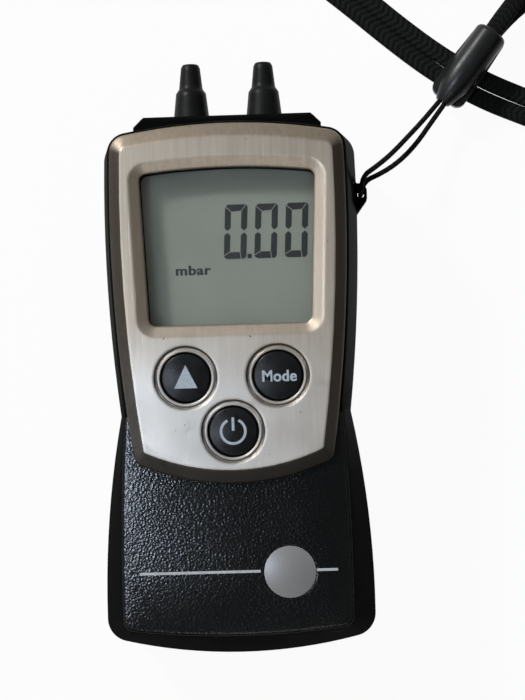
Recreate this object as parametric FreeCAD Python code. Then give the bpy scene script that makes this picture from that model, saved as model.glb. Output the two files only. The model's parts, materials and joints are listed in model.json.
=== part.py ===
"""Pocket digital manometer with two hose nozzles, three keys and a wrist strap.

The instrument lies on its back: +Z points out of the display, +Y towards the
nozzles and +X to the right. The origin is the middle of its base. Millimetres.
"""
import FreeCAD, Part
import math
import os

from FreeCAD import Vector

# Overall levels above the back
PARTING_Z = 12.0
FACE_Z = 23.0
PLATE_RISE = 2.0
TOTAL_LENGTH = 101.25
CENTRE_Y = TOTAL_LENGTH / 2

# Plan outline at the parting line, two side arcs that meet in a waist
LOW_HALF_WIDTH = 23.0
LOW_WIDEST_Y = 8.0
LOW_SIDE_RADIUS = 166.0
LOW_END_RADIUS = 85.0
LOW_CORNER = 4.0
HIGH_HALF_WIDTH = 21.8
HIGH_WIDEST_Y = 75.0
HIGH_SIDE_RADIUS = 285.0
HIGH_END_Y = 90.4
HIGH_END_RADIUS = 95.0
HIGH_CORNER = 4.0

# Plan outline of the front face
FACE_LOW_HALF_WIDTH = 19.15
FACE_LOW_WIDEST_Y = 14.0
FACE_LOW_SIDE_RADIUS = 400.0
FACE_LOW_END_Y = 4.0
FACE_LOW_END_RADIUS = 150.0
FACE_LOW_CORNER = 1.8
FACE_HIGH_HALF_WIDTH = 20.1
FACE_HIGH_SIDE_RADIUS = 283.0
FACE_HIGH_END_Y = 89.8
FACE_HIGH_CORNER = 3.4

# Shell walls and edges
WALL = 2.0
FACE_WALL = 2.0
FLOOR = 3.0
BACK_DRAFT = 1.6
BACK_EDGE = 2.0
FACE_EDGE = 0.8
LIP_THICKNESS = 0.8
LIP_HEIGHT = 1.0
LIP_GAP = 0.15
MIN_CORNER = 0.6
TOP_WALL_THINNING = 0.2

# Modelling aids: how far a cutting tool reaches past a surface, and when two levels are the same
OVERSHOOT = 1.0
SAME = 1e-4

# Metal faceplate
PLATE_SHEET = 0.8
PLATE_RIM = 0.5
PLATE_HALF_WIDTH = 19.75
PLATE_SIDE_RADIUS = 270.0
PLATE_TOP_Y = 89.3
PLATE_TOP_RADIUS = 94.0
PLATE_TOP_CORNER = 3.0
PLATE_BOTTOM_Y = 29.2
PLATE_BOTTOM_RADIUS = 38.0
PLATE_BOTTOM_CORNER = 2.4
BEVEL_SIDE = 1.85
BEVEL_END = 2.3

# Display
WINDOW_BOTTOM_Y = 55.6
WINDOW_TOP_Y = 81.8
WINDOW_HALF_BOTTOM = 13.45
WINDOW_HALF_TOP = 14.6
WINDOW_TOP_RADIUS = 115.0
WINDOW_CORNER = 1.2
DISH_WIDTH = 1.9
DISH_DEPTH = 0.7
PANE_THICKNESS = 1.0
PANE_OVERLAP = 1.0
PANE_GAP = 0.1
CELL_WIDTH = 31.6
CELL_LENGTH = 28.6
CELL_THICKNESS = 2.2
CELL_GAP = 0.1
STRIP_GAP = 0.1
STRIP_WIDTH = 2.0
STRIP_LENGTH = 27.0
HOLDER_WALL = 0.9
HOLDER_GAP = 0.2
HOLDER_GRIP = 1.0

# Keys
KEY_PITCH = 15.3
KEY_ROW_Y = 46.9
KEY_DROP = 9.05
KEY_RADIUS = 4.13
KEY_GAP = 0.17
KEY_CROWN = 0.25
KEY_PROUD = -0.1
KEY_EDGE = 0.45
KEY_FLANGE = 0.7
KEY_FLANGE_HEIGHT = 0.8
KEY_STEM_RADIUS = 2.4
KEY_TRAVEL = 0.5
KEY_SEAT_RADIUS = 5.29
KEY_GROOVE_DEPTH = 0.6
KEY_GROOVE_WIDTH = 0.3
KEY_LAND_WIDTH = 0.4
MAT_THICKNESS = 0.8
MAT_MARGIN = 2.6
DOME_RADIUS = 2.2
DOME_HEIGHT = 0.35
DOME_SHEET = 0.15
STEM_GAP = 0.1

# Circuit board
BOARD_Z = 15.0
BOARD_THICKNESS = 1.6
BOARD_GAP = 2.0
BOARD_TOP_Y = 83.0
CHIP_SIZE = 7.0
CHIP_HEIGHT = 1.2
CHIP_SETBACK = 2.0
PART_GAP = 1.0
CRYSTAL_WIDTH = 3.2
CRYSTAL_LENGTH = 8.0
CRYSTAL_HEIGHT = 2.4
CRYSTAL_LOW_Y = 34.5
CAPACITOR_WIDTH = 2.0
CAPACITOR_LENGTH = 3.2
CAPACITOR_HEIGHT = 1.6
CAPACITOR_PITCH = 4.5
CAPACITOR_COUNT = 3
POST_RADIUS = 1.2
POST_X = 14.8
POST_LOW_Y = 30.0
POST_HIGH_Y = 64.0

# Ports at the top end
PORT_HALF_WIDTH = 14.2
PORT_CHAMFER = 1.8
PORT_END_Y = 91.7
PORT_BACK_Z = 6.5
PORT_FRONT_Z = 17.0
PORT_INNER_Y = 85.6
PORT_FLANGE = 0.9
PORT_FLANGE_DEPTH = 1.2
PORT_GAP = 0.15
PORT_EDGE = 0.8
NOZZLE_PITCH = 12.55
NOZZLE_Z = 11.8
NOZZLE_BASE_RADIUS = 3.1
NOZZLE_NECK_RADIUS = 2.6
NOZZLE_NECK_Y = 96.2
NOZZLE_SHOULDER = 0.8
NOZZLE_STEM_RADIUS = 2.05
NOZZLE_TIP_RADIUS = 1.65
NOZZLE_TIP_EDGE = 0.6
NOZZLE_BORE_RADIUS = 0.8
NOZZLE_SHANK_RADIUS = 2.2
SPIGOT_RADIUS = 1.3
SPIGOT_LENGTH = 4.0
SHANK_END_Y = 83.4
SEAL_THICKNESS = 0.6
SEAL_RADIUS = 3.0
NUT_ACROSS = 6.2
NUT_SIDES = 6
NUT_HEIGHT = 1.6
TUBE_WALL = 0.6
TUBE_GAP = 0.2
SENSOR_STUB_LENGTH = 4.0
SENSOR_WIDTH = 16.0
SENSOR_LENGTH = 10.0
SENSOR_HEIGHT = 5.0
SENSOR_CORNER = 1.0
SENSOR_SETBACK = 4.1

# Batteries and their bay
CELL_RADIUS = 5.25
BATTERY_LENGTH = 43.6
BATTERY_NIPPLE_RADIUS = 1.9
BATTERY_NIPPLE_LENGTH = 0.9
BATTERY_GAP = 0.2
BATTERY_EDGE = 0.4
BAY_LOW_Y = 8.5
SPRING_ROOM = 2.9
BAY_WALL = 1.2
CONTACT_SHEET = 0.4
SPRING_WIRE = 0.25
SPRING_RADIUS = 2.2
SPRING_TURNS = 2.5
DOOR_HALF_WIDTH = 12.4
DOOR_MARGIN = 2.3
DOOR_THICKNESS = 1.6
DOOR_GAP = 0.25
DOOR_TONGUE = 0.8
DOOR_TONGUE_THICKNESS = 0.6
DOOR_RECESS = 0.6
GRIP_PITCH = 1.6
GRIP_COUNT = 4
GRIP_DEPTH = 0.4
GRIP_SETBACK = 6.0
TONGUE_DROP = 0.2
CONTACT_MARGIN = 1.0

# Fasteners and fittings
SCREW_RADIUS = 1.1
SCREW_HEAD_RADIUS = 2.0
SCREW_HEAD_HEIGHT = 1.4
SCREW_LENGTH = 12.0
SCREW_SINK = 0.4
SCREW_GAP = 0.2
CROSS_HALF_LENGTH = 1.2
CROSS_HALF_WIDTH = 0.25
CROSS_DEPTH = 0.8
BOSS_RADIUS = 2.3
BOSS_SPACING = 0.25
HIGH_BOSS_Y = 50.4
LOW_BOSS_Y = 9.8
MAGNET_RADIUS = 4.0
MAGNET_THICKNESS = 2.0
MAGNET_PITCH = 22.0
MAGNET_Y = 71.0
INLAY_RADIUS = 4.3
INLAY_X = 8.74
INLAY_Y = 14.35
INLAY_RIM = 0.15
INLAY_CROWN = 0.35
INLAY_DEPTH = 0.6

# Strap eyelet on the right side
EYELET_Y = 78.0
EYELET_BORE_RADIUS = 0.65
EYELET_PROUD = 1.8
EYELET_HEIGHT = 3.6
EYELET_DROP = 0.2
EYELET_WALL = 0.2
EYELET_CREST_HALF = 0.9
EYELET_CHAMFER = 0.7
EYELET_LOW_Y = 74.6
EYELET_HIGH_Y = 79.9

# Strap clasp, where it lies on the band
CLASP_LENGTH = 15.3
CLASP_NOSE = (37.5, 94.6)
CLASP_TURN = 52.5
CLASP_HALF_WIDTH = 2.9
CLASP_NOSE_RADIUS = 1.3
CLASP_NOSE_LENGTH = 7.0
CLASP_NOSE_SWELL = 1.05
CLASP_NOSE_SWELL_SHARE = 0.4
CLASP_TAIL_ROUND = 0.9
CLASP_AXIS_RISE = 1.0
CLASP_BASE_HALF_WIDTH = 3.3
CLASP_BASE_THICKNESS = 1.6
CLASP_BASE_SETBACK = 0.8
CLASP_BASE_CORNER = 1.6
CLASP_BASE_SHOULDER = 7.5
CLASP_BASE_TAIL_CORNER = 1.0
CLASP_LIFT = 0.3

# Strap cord and band
CORD_DIAMETER = 0.9
BAND_WIDTH = 3.0
BAND_THICKNESS = 1.4
CORD_ARC_SHARE = 0.45
CORD_ROUTE = [
    (37.1, 94.9, 4.3), (34.4, 91.8, 4.7), (31.2, 88.4, 6.4), (28.0, 85.0, 9.0), (25.2, 82.6, 11.5),
    (23.0, 81.0, 13.1), (22.5, 78.0, 13.1), (22.5, 78.0, 6.9), (23.3, 80.8, 6.9), (26.2, 82.0, 6.7),
    (29.3, 83.9, 6.2), (32.5, 87.0, 5.3), (35.5, 91.1, 4.5), (37.9, 94.3, 4.3),
]
BAND_ROUTE = [
    (46.8, 106.7, 5.1), (49.6, 110.6, 4.1), (54.0, 115.6, 2.1), (61.4, 118.6, 0.8), (70.0, 116.4, 0.8),
    (76.6, 109.4, 0.8), (77.8, 99.4, 0.8), (72.4, 91.0, 0.8), (62.2, 88.2, 0.8), (51.9, 92.2, 0.8),
    (43.8, 95.8, 0.8), (36.1, 100.7, 0.8), (29.0, 106.4, 0.8), (21.5, 113.0, 0.8), (14.2, 119.0, 0.8),
    (5.5, 123.8, 0.8), (-3.8, 125.6, 0.8), (-12.3, 123.2, 0.8), (-20.8, 119.8, 0.8), (-29.6, 119.2, 0.8),
    (-36.2, 124.8, 0.8), (-36.9, 133.4, 0.8), (-31.2, 140.0, 0.8), (-22.4, 140.6, 0.8), (-13.0, 135.6, 0.8),
    (-3.4, 130.4, 0.8), (6.5, 127.0, 0.8), (15.8, 121.8, 0.8), (23.5, 115.4, 0.8), (31.0, 108.8, 0.8),
    (37.9, 103.4, 0.8), (45.2, 98.8, 0.8), (53.2, 95.2, 0.8), (61.8, 91.5, 0.8), (70.0, 93.8, 0.8),
    (74.6, 100.2, 0.8), (73.6, 108.0, 0.8), (68.2, 113.6, 0.8), (61.3, 115.4, 0.9), (54.8, 113.6, 1.7),
    (50.3, 110.6, 2.7), (46.8, 106.7, 3.5),
]

# Values that follow from the sizes above
PLATE_Z = FACE_Z + PLATE_RISE
PLATE_UNDER_Z = PLATE_Z - PLATE_SHEET
ROOF_Z = FACE_Z - FACE_WALL
CELL_TOP_Z = ROOF_Z - CELL_GAP
CELL_BOTTOM_Z = CELL_TOP_Z - CELL_THICKNESS
BOARD_TOP_Z = BOARD_Z + BOARD_THICKNESS
WINDOW_CENTRE_Y = (WINDOW_BOTTOM_Y + WINDOW_TOP_Y) / 2
KEY_CENTRES = {
    "up": (-KEY_PITCH / 2, KEY_ROW_Y),
    "mode": (KEY_PITCH / 2, KEY_ROW_Y),
    "power": (0.0, KEY_ROW_Y - KEY_DROP),
}
BATTERY_X = CELL_RADIUS + BATTERY_GAP / 2
BATTERY_Z = DOOR_RECESS + DOOR_THICKNESS + BATTERY_GAP + CELL_RADIUS
BAY_HALF_WIDTH = 2 * CELL_RADIUS + 1.5 * BATTERY_GAP
BAY_HIGH_Y = BAY_LOW_Y + BATTERY_LENGTH + BATTERY_NIPPLE_LENGTH + SPRING_ROOM + 2 * CONTACT_SHEET
BAY_ROOF_Z = BATTERY_Z + CELL_RADIUS + BATTERY_GAP
SENSOR_END_Y = BAY_HIGH_Y + BAY_WALL + SENSOR_SETBACK + SENSOR_LENGTH
CHIP_LOW_Y = SENSOR_END_Y + CHIP_SETBACK
DOOR_TOP_Y = BAY_HIGH_Y + DOOR_MARGIN
BOSS_X = DOOR_HALF_WIDTH + DOOR_TONGUE + DOOR_GAP + BOSS_SPACING + SCREW_HEAD_RADIUS + SCREW_GAP
BOSSES = [(side * BOSS_X, y) for y in (HIGH_BOSS_Y, LOW_BOSS_Y) for side in (-1, 1)]
EYELET_OUTER_X = HIGH_HALF_WIDTH + EYELET_PROUD
EYELET_X = EYELET_OUTER_X - 2 * EYELET_BORE_RADIUS + EYELET_WALL
EYELET_Z = PARTING_Z - EYELET_HEIGHT - EYELET_DROP
SCREW_TIP_Z = SCREW_SINK + SCREW_HEAD_HEIGHT + SCREW_LENGTH
KEY_STEM_Z = BOARD_TOP_Z + DOME_HEIGHT + KEY_TRAVEL + STEM_GAP
TONGUE_Z = DOOR_RECESS + DOOR_THICKNESS - DOOR_TONGUE_THICKNESS - TONGUE_DROP
CLASP_BASE_Z = BAND_THICKNESS + CLASP_LIFT
CLASP_SPLIT_Z = CLASP_BASE_Z + CLASP_BASE_THICKNESS
CLASP_AXIS_Z = CLASP_SPLIT_Z + CLASP_AXIS_RISE


# Small helpers

def meeting_point(first, second, near):
    """Point where two circles (centre, radius) cross, the one nearest to a given point."""
    (x1, y1), r1 = first
    (x2, y2), r2 = second
    dx, dy = x2 - x1, y2 - y1
    gap = math.hypot(dx, dy)
    along = (r1 ** 2 - r2 ** 2 + gap ** 2) / (2 * gap)
    across = math.sqrt(r1 ** 2 - along ** 2)
    found = []
    for side in (-1, 1):
        x = x1 + (along * dx - side * across * dy) / gap
        y = y1 + (along * dy + side * across * dx) / gap
        found.append((x, y))
    return min(found, key=lambda p: math.hypot(p[0] - near[0], p[1] - near[1]))


def corner_between(first, second, radius, near):
    """Corner arc inside two large arcs: where it touches each, and its middle point."""
    centre = meeting_point((first[0], first[1] - radius), (second[0], second[1] - radius), near)
    touches = []
    for (cx, cy), big in (first, second):
        reach = big / math.hypot(centre[0] - cx, centre[1] - cy)
        touches.append((cx + (centre[0] - cx) * reach, cy + (centre[1] - cy) * reach))
    chord = ((touches[0][0] + touches[1][0]) / 2, (touches[0][1] + touches[1][1]) / 2)
    out = radius / math.hypot(chord[0] - centre[0], chord[1] - centre[1])
    middle = (centre[0] + (chord[0] - centre[0]) * out, centre[1] + (chord[1] - centre[1]) * out)
    return touches[0], middle, touches[1]


def point_on(circle, start, end):
    """Middle point of the shorter arc of a circle between two of its points."""
    (cx, cy), radius = circle
    mx, my = (start[0] + end[0]) / 2 - cx, (start[1] + end[1]) / 2 - cy
    out = radius / math.hypot(mx, my)
    return cx + mx * out, cy + my * out


def mirrored(point):
    return -point[0], point[1]


def closed_wire(half_edges, z):
    """Wire of a right half given as (start, middle, end) arcs from the bottom arc to the top arc.

    The first and last arcs cross the centre line, and the others are mirrored to the left.
    """
    right = half_edges[1:-1]
    left = [tuple(mirrored(p) for p in reversed(edge)) for edge in reversed(right)]
    wire_edges = []
    for start, middle, end in [half_edges[0]] + right + [half_edges[-1]] + left:
        points = [Vector(x, y, z) for x, y in (start, middle, end)]
        wire_edges.append(Part.Arc(*points).toShape())
    return Part.Wire(wire_edges)


class Waisted:
    """Plan outline of the housing at one level: two ends, four corners and a waist in each side."""

    def __init__(self, low_y, low_end, low_half, low_widest, low_side, low_corner,
                 high_y, high_end, high_half, high_widest, high_side, high_corner):
        self.values = (low_y, low_end, low_half, low_widest, low_side, low_corner,
                       high_y, high_end, high_half, high_widest, high_side, high_corner)

    def wire(self, z, inset=0.0):
        (low_y, low_end, low_half, low_widest, low_side, low_corner,
         high_y, high_end, high_half, high_widest, high_side, high_corner) = self.values
        low_end_circle = ((0.0, low_y + low_end), low_end - inset)
        low_circle = ((low_half - low_side, low_widest), low_side - inset)
        high_circle = ((high_half - high_side, high_widest), high_side - inset)
        high_end_circle = ((0.0, high_y - high_end), high_end - inset)
        low_radius = max(low_corner - inset, MIN_CORNER)
        high_radius = max(high_corner - inset, MIN_CORNER)
        waist = meeting_point(low_circle, high_circle, (low_half, (low_widest + high_widest) / 2))
        low = corner_between(low_end_circle, low_circle, low_radius, (low_half, low_y))
        high = corner_between(high_circle, high_end_circle, high_radius, (high_half, high_y))
        half = [
            (mirrored(low[0]), (0.0, low_y + inset), low[0]),
            low,
            (low[2], point_on(low_circle, low[2], waist), waist),
            (waist, point_on(high_circle, waist, high[0]), high[0]),
            high,
            (high[2], (0.0, high_y - inset), mirrored(high[2])),
        ]
        return closed_wire(half, z)


PARTING_OUTLINE = Waisted(
    0.0, LOW_END_RADIUS, LOW_HALF_WIDTH, LOW_WIDEST_Y, LOW_SIDE_RADIUS, LOW_CORNER,
    HIGH_END_Y, HIGH_END_RADIUS, HIGH_HALF_WIDTH, HIGH_WIDEST_Y, HIGH_SIDE_RADIUS, HIGH_CORNER)
FACE_OUTLINE = Waisted(
    FACE_LOW_END_Y, FACE_LOW_END_RADIUS, FACE_LOW_HALF_WIDTH, FACE_LOW_WIDEST_Y, FACE_LOW_SIDE_RADIUS,
    FACE_LOW_CORNER,
    FACE_HIGH_END_Y, HIGH_END_RADIUS, FACE_HIGH_HALF_WIDTH, HIGH_WIDEST_Y, FACE_HIGH_SIDE_RADIUS,
    FACE_HIGH_CORNER)


def plate_wire(z, side_inset=0.0, end_inset=0.0):
    """Outline of the faceplate, inset by its bevel at the sides and at the ends."""
    top_circle = ((0.0, PLATE_TOP_Y - PLATE_TOP_RADIUS), PLATE_TOP_RADIUS - end_inset)
    side_circle = ((PLATE_HALF_WIDTH - PLATE_SIDE_RADIUS, HIGH_WIDEST_Y), PLATE_SIDE_RADIUS - side_inset)
    bottom_circle = ((0.0, PLATE_BOTTOM_Y + PLATE_BOTTOM_RADIUS), PLATE_BOTTOM_RADIUS - end_inset)
    low_radius = max(PLATE_BOTTOM_CORNER - side_inset, MIN_CORNER)
    high_radius = max(PLATE_TOP_CORNER - side_inset, MIN_CORNER)
    low = corner_between(bottom_circle, side_circle, low_radius, (PLATE_HALF_WIDTH, PLATE_BOTTOM_Y))
    high = corner_between(side_circle, top_circle, high_radius, (PLATE_HALF_WIDTH, PLATE_TOP_Y))
    half = [
        (mirrored(low[0]), (0.0, PLATE_BOTTOM_Y + end_inset), low[0]),
        low,
        (low[2], point_on(side_circle, low[2], high[0]), high[0]),
        high,
        (high[2], (0.0, PLATE_TOP_Y - end_inset), mirrored(high[2])),
    ]
    return closed_wire(half, z)


def window_wire(z, margin=0.0):
    """Outline of the display opening, grown by a margin: straight sides and foot, arched top."""
    radius = WINDOW_TOP_RADIUS + margin
    top_circle = ((0.0, WINDOW_TOP_Y - WINDOW_TOP_RADIUS), radius)
    low_y = WINDOW_BOTTOM_Y - margin
    half_low = WINDOW_HALF_BOTTOM + margin
    half_high = WINDOW_HALF_TOP + margin
    high_y = top_circle[0][1] + math.sqrt(radius ** 2 - half_high ** 2)
    face = Part.Face(Part.Wire([
        Part.LineSegment(Vector(-half_low, low_y, z), Vector(half_low, low_y, z)).toShape(),
        Part.LineSegment(Vector(half_low, low_y, z), Vector(half_high, high_y, z)).toShape(),
        Part.Arc(Vector(half_high, high_y, z), Vector(0, WINDOW_TOP_Y + margin, z),
                 Vector(-half_high, high_y, z)).toShape(),
        Part.LineSegment(Vector(-half_high, high_y, z), Vector(-half_low, low_y, z)).toShape(),
    ]))
    block = face.extrude(Vector(0, 0, 1))
    rounded = block.makeFillet(WINDOW_CORNER + margin, standing_edges(block))
    foot = min(rounded.Faces, key=lambda f: f.CenterOfMass.z)
    return foot.OuterWire


def loft(*wires):
    return Part.makeLoft(list(wires), True, True)


def prism(wire, height):
    return Part.Face(wire).extrude(Vector(0, 0, height))


def box(x0, x1, y0, y1, z0, z1):
    return Part.makeBox(x1 - x0, y1 - y0, z1 - z0, Vector(x0, y0, z0))


def upright(radius, x, y, z0, z1):
    return Part.makeCylinder(radius, z1 - z0, Vector(x, y, z0))


def lengthwise(radius, x, z, y0, y1):
    return Part.makeCylinder(radius, y1 - y0, Vector(x, y0, z), Vector(0, 1, 0))


def turned(points, origin, axis):
    """Solid of revolution of a closed (radius, height) profile about an axis from an origin."""
    corners = [Vector(r, 0, h) for r, h in points]
    profile = Part.Face(Part.makePolygon(corners + [corners[0]]))
    solid = profile.revolve(Vector(0, 0, 0), Vector(0, 0, 1), 360)
    placement = FreeCAD.Placement(origin, FreeCAD.Rotation(Vector(0, 0, 1), axis))
    solid.Placement = placement
    return solid


def edges_at(shape, z):
    """Edges of a shape that lie wholly at one level."""
    return [e for e in shape.Edges
            if all(abs(v.Z - z) < SAME for v in e.Vertexes) and abs(e.CenterOfMass.z - z) < SAME]


def standing_edges(shape):
    """Edges of a shape that go from one level to another."""
    return [e for e in shape.Edges if abs(e.Vertexes[0].Z - e.Vertexes[-1].Z) > SAME]


def rounded_corner(centre, radius):
    """Middle point of the quarter arc that rounds an outer top corner, in the XZ plane."""
    reach = radius * math.cos(math.pi / 4)
    return Vector(centre[0] + reach, 0, centre[1] + reach)


# Housing

def port_opening():
    """Room in the top end wall for the port block and, behind the wall, for its flange."""
    half = PORT_HALF_WIDTH + PORT_CHAMFER + PORT_GAP
    opening = box(-half, half, PORT_INNER_Y, HIGH_END_Y + WALL, PORT_BACK_Z - PORT_GAP, PORT_FRONT_Z + PORT_GAP)
    reach = PORT_FLANGE
    flange_room = box(-half - reach, half + reach, PORT_INNER_Y, PORT_INNER_Y + PORT_FLANGE_DEPTH + PORT_GAP,
                      PORT_BACK_Z - PORT_GAP - reach, PORT_FRONT_Z + PORT_GAP + reach)
    return opening.fuse(flange_room)


def rear_form():
    """Outer form of the rear half, which the door's outer end shares."""
    form = loft(PARTING_OUTLINE.wire(0.0, BACK_DRAFT), PARTING_OUTLINE.wire(PARTING_Z))
    return form.makeFillet(BACK_EDGE, edges_at(form, 0.0))


def rear_housing():
    shell = rear_form()
    cavity = loft(PARTING_OUTLINE.wire(FLOOR, WALL + BACK_DRAFT), PARTING_OUTLINE.wire(PARTING_Z, WALL))
    shell = shell.cut(cavity)
    lip = prism(PARTING_OUTLINE.wire(PARTING_Z - LIP_HEIGHT, WALL - LIP_THICKNESS), 2 * LIP_HEIGHT)
    lip = lip.cut(prism(PARTING_OUTLINE.wire(PARTING_Z - LIP_HEIGHT, WALL), 2 * LIP_HEIGHT))
    shell = shell.fuse(lip)
    bay = box(-BAY_HALF_WIDTH - BAY_WALL, BAY_HALF_WIDTH + BAY_WALL, BAY_LOW_Y - BAY_WALL,
              BAY_HIGH_Y + BAY_WALL, FLOOR / 2, BAY_ROOF_Z + BAY_WALL)
    shell = shell.fuse(bay)
    for x, y in BOSSES:
        shell = shell.fuse(upright(BOSS_RADIUS, x, y, FLOOR / 2, PARTING_Z))
    for x in (-POST_X, POST_X):
        for y in (POST_LOW_Y, POST_HIGH_Y):
            shell = shell.fuse(upright(POST_RADIUS, x, y, FLOOR / 2, BOARD_Z))
    shell = shell.fuse(eyelet_lug())
    cuts = [
        box(-BAY_HALF_WIDTH, BAY_HALF_WIDTH, BAY_LOW_Y, BAY_HIGH_Y, 0.0, BAY_ROOF_Z),
        door_room(),
        port_opening(),
        upright(EYELET_BORE_RADIUS, EYELET_X, EYELET_Y, 0.0, FACE_Z),
    ]
    for x, y in BOSSES:
        cuts.append(upright(SCREW_RADIUS + SCREW_GAP, x, y, 0.0, PARTING_Z))
        cuts.append(upright(SCREW_HEAD_RADIUS + SCREW_GAP, x, y, 0.0, SCREW_SINK + SCREW_HEAD_HEIGHT))
    for magnet in magnets().Solids:
        cuts.append(magnet)
    return shell.cut(cuts).removeSplitter()


def eyelet_lug():
    """Lug for the strap on the right side, tapering down into the wall."""
    root = HIGH_HALF_WIDTH - WALL / 2
    corners = [(root, EYELET_LOW_Y), (HIGH_HALF_WIDTH, EYELET_LOW_Y), (EYELET_OUTER_X, EYELET_Y - EYELET_CREST_HALF),
               (EYELET_OUTER_X, EYELET_Y + EYELET_CREST_HALF), (EYELET_OUTER_X - EYELET_CHAMFER, EYELET_HIGH_Y),
               (root, EYELET_HIGH_Y)]
    points = [Vector(x, y, EYELET_Z) for x, y in corners]
    return Part.Face(Part.makePolygon(points + [points[0]])).extrude(Vector(0, 0, EYELET_HEIGHT))


def front_housing():
    shell = loft(PARTING_OUTLINE.wire(PARTING_Z), FACE_OUTLINE.wire(FACE_Z))
    shell = shell.makeFillet(FACE_EDGE, edges_at(shell, FACE_Z))
    cavity = loft(PARTING_OUTLINE.wire(PARTING_Z, WALL), FACE_OUTLINE.wire(ROOF_Z, WALL - TOP_WALL_THINNING))
    shell = shell.cut(cavity)
    pad = prism(plate_wire(FACE_Z - FACE_WALL / 2, BEVEL_SIDE + PLATE_SHEET, BEVEL_END + PLATE_SHEET),
                FACE_WALL / 2 + PLATE_UNDER_Z - FACE_Z)
    pad = pad.cut(prism(window_wire(FACE_Z, DISH_WIDTH + PANE_OVERLAP / 2), PLATE_RISE))
    for x, y in KEY_CENTRES.values():
        pad = pad.cut(upright(KEY_SEAT_RADIUS + KEY_GAP, x, y, FACE_Z, PLATE_Z))
    shell = shell.fuse(pad)
    for x, y in BOSSES:
        shell = shell.fuse(upright(BOSS_RADIUS, x, y, PARTING_Z, FACE_Z - FACE_WALL / 2))
    for x in (-POST_X, POST_X):
        shell = shell.fuse(upright(POST_RADIUS, x, POST_LOW_Y, BOARD_TOP_Z, FACE_Z - FACE_WALL / 2))
    rebate = prism(PARTING_OUTLINE.wire(PARTING_Z - LIP_HEIGHT, WALL - LIP_THICKNESS - LIP_GAP),
                   2 * LIP_HEIGHT + LIP_GAP)
    inner = prism(PARTING_OUTLINE.wire(PARTING_Z - LIP_HEIGHT, WALL + LIP_GAP), 2 * LIP_HEIGHT + LIP_GAP)
    cuts = [
        rebate.cut(inner),
        prism(window_wire(ROOF_Z - OVERSHOOT), FACE_WALL + 2 * OVERSHOOT),
        prism(window_wire(FACE_Z - PANE_THICKNESS, PANE_OVERLAP + PANE_GAP), PLATE_RISE),
        port_opening(),
        upright(INLAY_RADIUS, INLAY_X, INLAY_Y, FACE_Z - INLAY_DEPTH, FACE_Z),
    ]
    for x, y in KEY_CENTRES.values():
        cuts.append(upright(KEY_RADIUS + KEY_GAP, x, y, ROOF_Z - OVERSHOOT, PLATE_Z))
    for x, y in BOSSES:
        cuts.append(upright(SCREW_RADIUS, x, y, PARTING_Z, SCREW_TIP_Z))
    return shell.cut(cuts).removeSplitter()


# Faceplate, pressed from one sheet

def faceplate():
    rim_z = FACE_Z + PLATE_RIM
    outer = prism(plate_wire(FACE_Z), PLATE_RIM).fuse(
        loft(plate_wire(rim_z), plate_wire(PLATE_Z, BEVEL_SIDE, BEVEL_END)))
    inner_side = BEVEL_SIDE + PLATE_SHEET
    inner_end = BEVEL_END + PLATE_SHEET
    hollow = loft(plate_wire(FACE_Z, PLATE_SHEET, PLATE_SHEET), plate_wire(PLATE_UNDER_Z, inner_side, inner_end))
    plate = outer.cut(hollow)
    plate = plate.cut(loft(window_wire(PLATE_Z, DISH_WIDTH), window_wire(PLATE_Z - DISH_DEPTH)))
    dish_under = PLATE_UNDER_Z - DISH_DEPTH
    skirt = loft(window_wire(dish_under), window_wire(PLATE_UNDER_Z, DISH_WIDTH))
    frame = skirt.fuse(prism(window_wire(PLATE_UNDER_Z, DISH_WIDTH), PLATE_SHEET))
    frame = frame.cut(loft(window_wire(PLATE_Z, DISH_WIDTH), window_wire(PLATE_Z - DISH_DEPTH)))
    plate = plate.fuse(frame)
    plate = plate.cut(prism(window_wire(FACE_Z - OVERSHOOT), PLATE_RISE + 2 * OVERSHOOT))
    for x, y in KEY_CENTRES.values():
        plate = plate.cut(upright(KEY_SEAT_RADIUS, x, y, FACE_Z, PLATE_Z))
        plate = plate.fuse(key_seat(x, y))
    return plate.removeSplitter()


def key_seat(x, y):
    """Pressed ring round a key: a groove, then a raised land with the key's hole in it."""
    bore = KEY_RADIUS + KEY_GAP
    groove = KEY_SEAT_RADIUS - KEY_GROOVE_WIDTH
    land = bore + KEY_LAND_WIDTH
    land_drop = KEY_GROOVE_DEPTH / 2
    profile = [
        (KEY_SEAT_RADIUS, 0.0), (groove, -KEY_GROOVE_DEPTH), (land, -land_drop), (bore, -land_drop),
        (bore, -land_drop - PLATE_SHEET), (groove, -KEY_GROOVE_DEPTH - PLATE_SHEET),
        (KEY_SEAT_RADIUS, -PLATE_SHEET),
    ]
    return turned(profile, Vector(x, y, PLATE_Z), Vector(0, 0, 1))


# Display stack

def display_window():
    return prism(window_wire(FACE_Z - PANE_THICKNESS, PANE_OVERLAP), PANE_THICKNESS)


def display_cell():
    half = CELL_WIDTH / 2
    return box(-half, half, WINDOW_CENTRE_Y - CELL_LENGTH / 2, WINDOW_CENTRE_Y + CELL_LENGTH / 2,
               CELL_BOTTOM_Z, CELL_TOP_Z)


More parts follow.
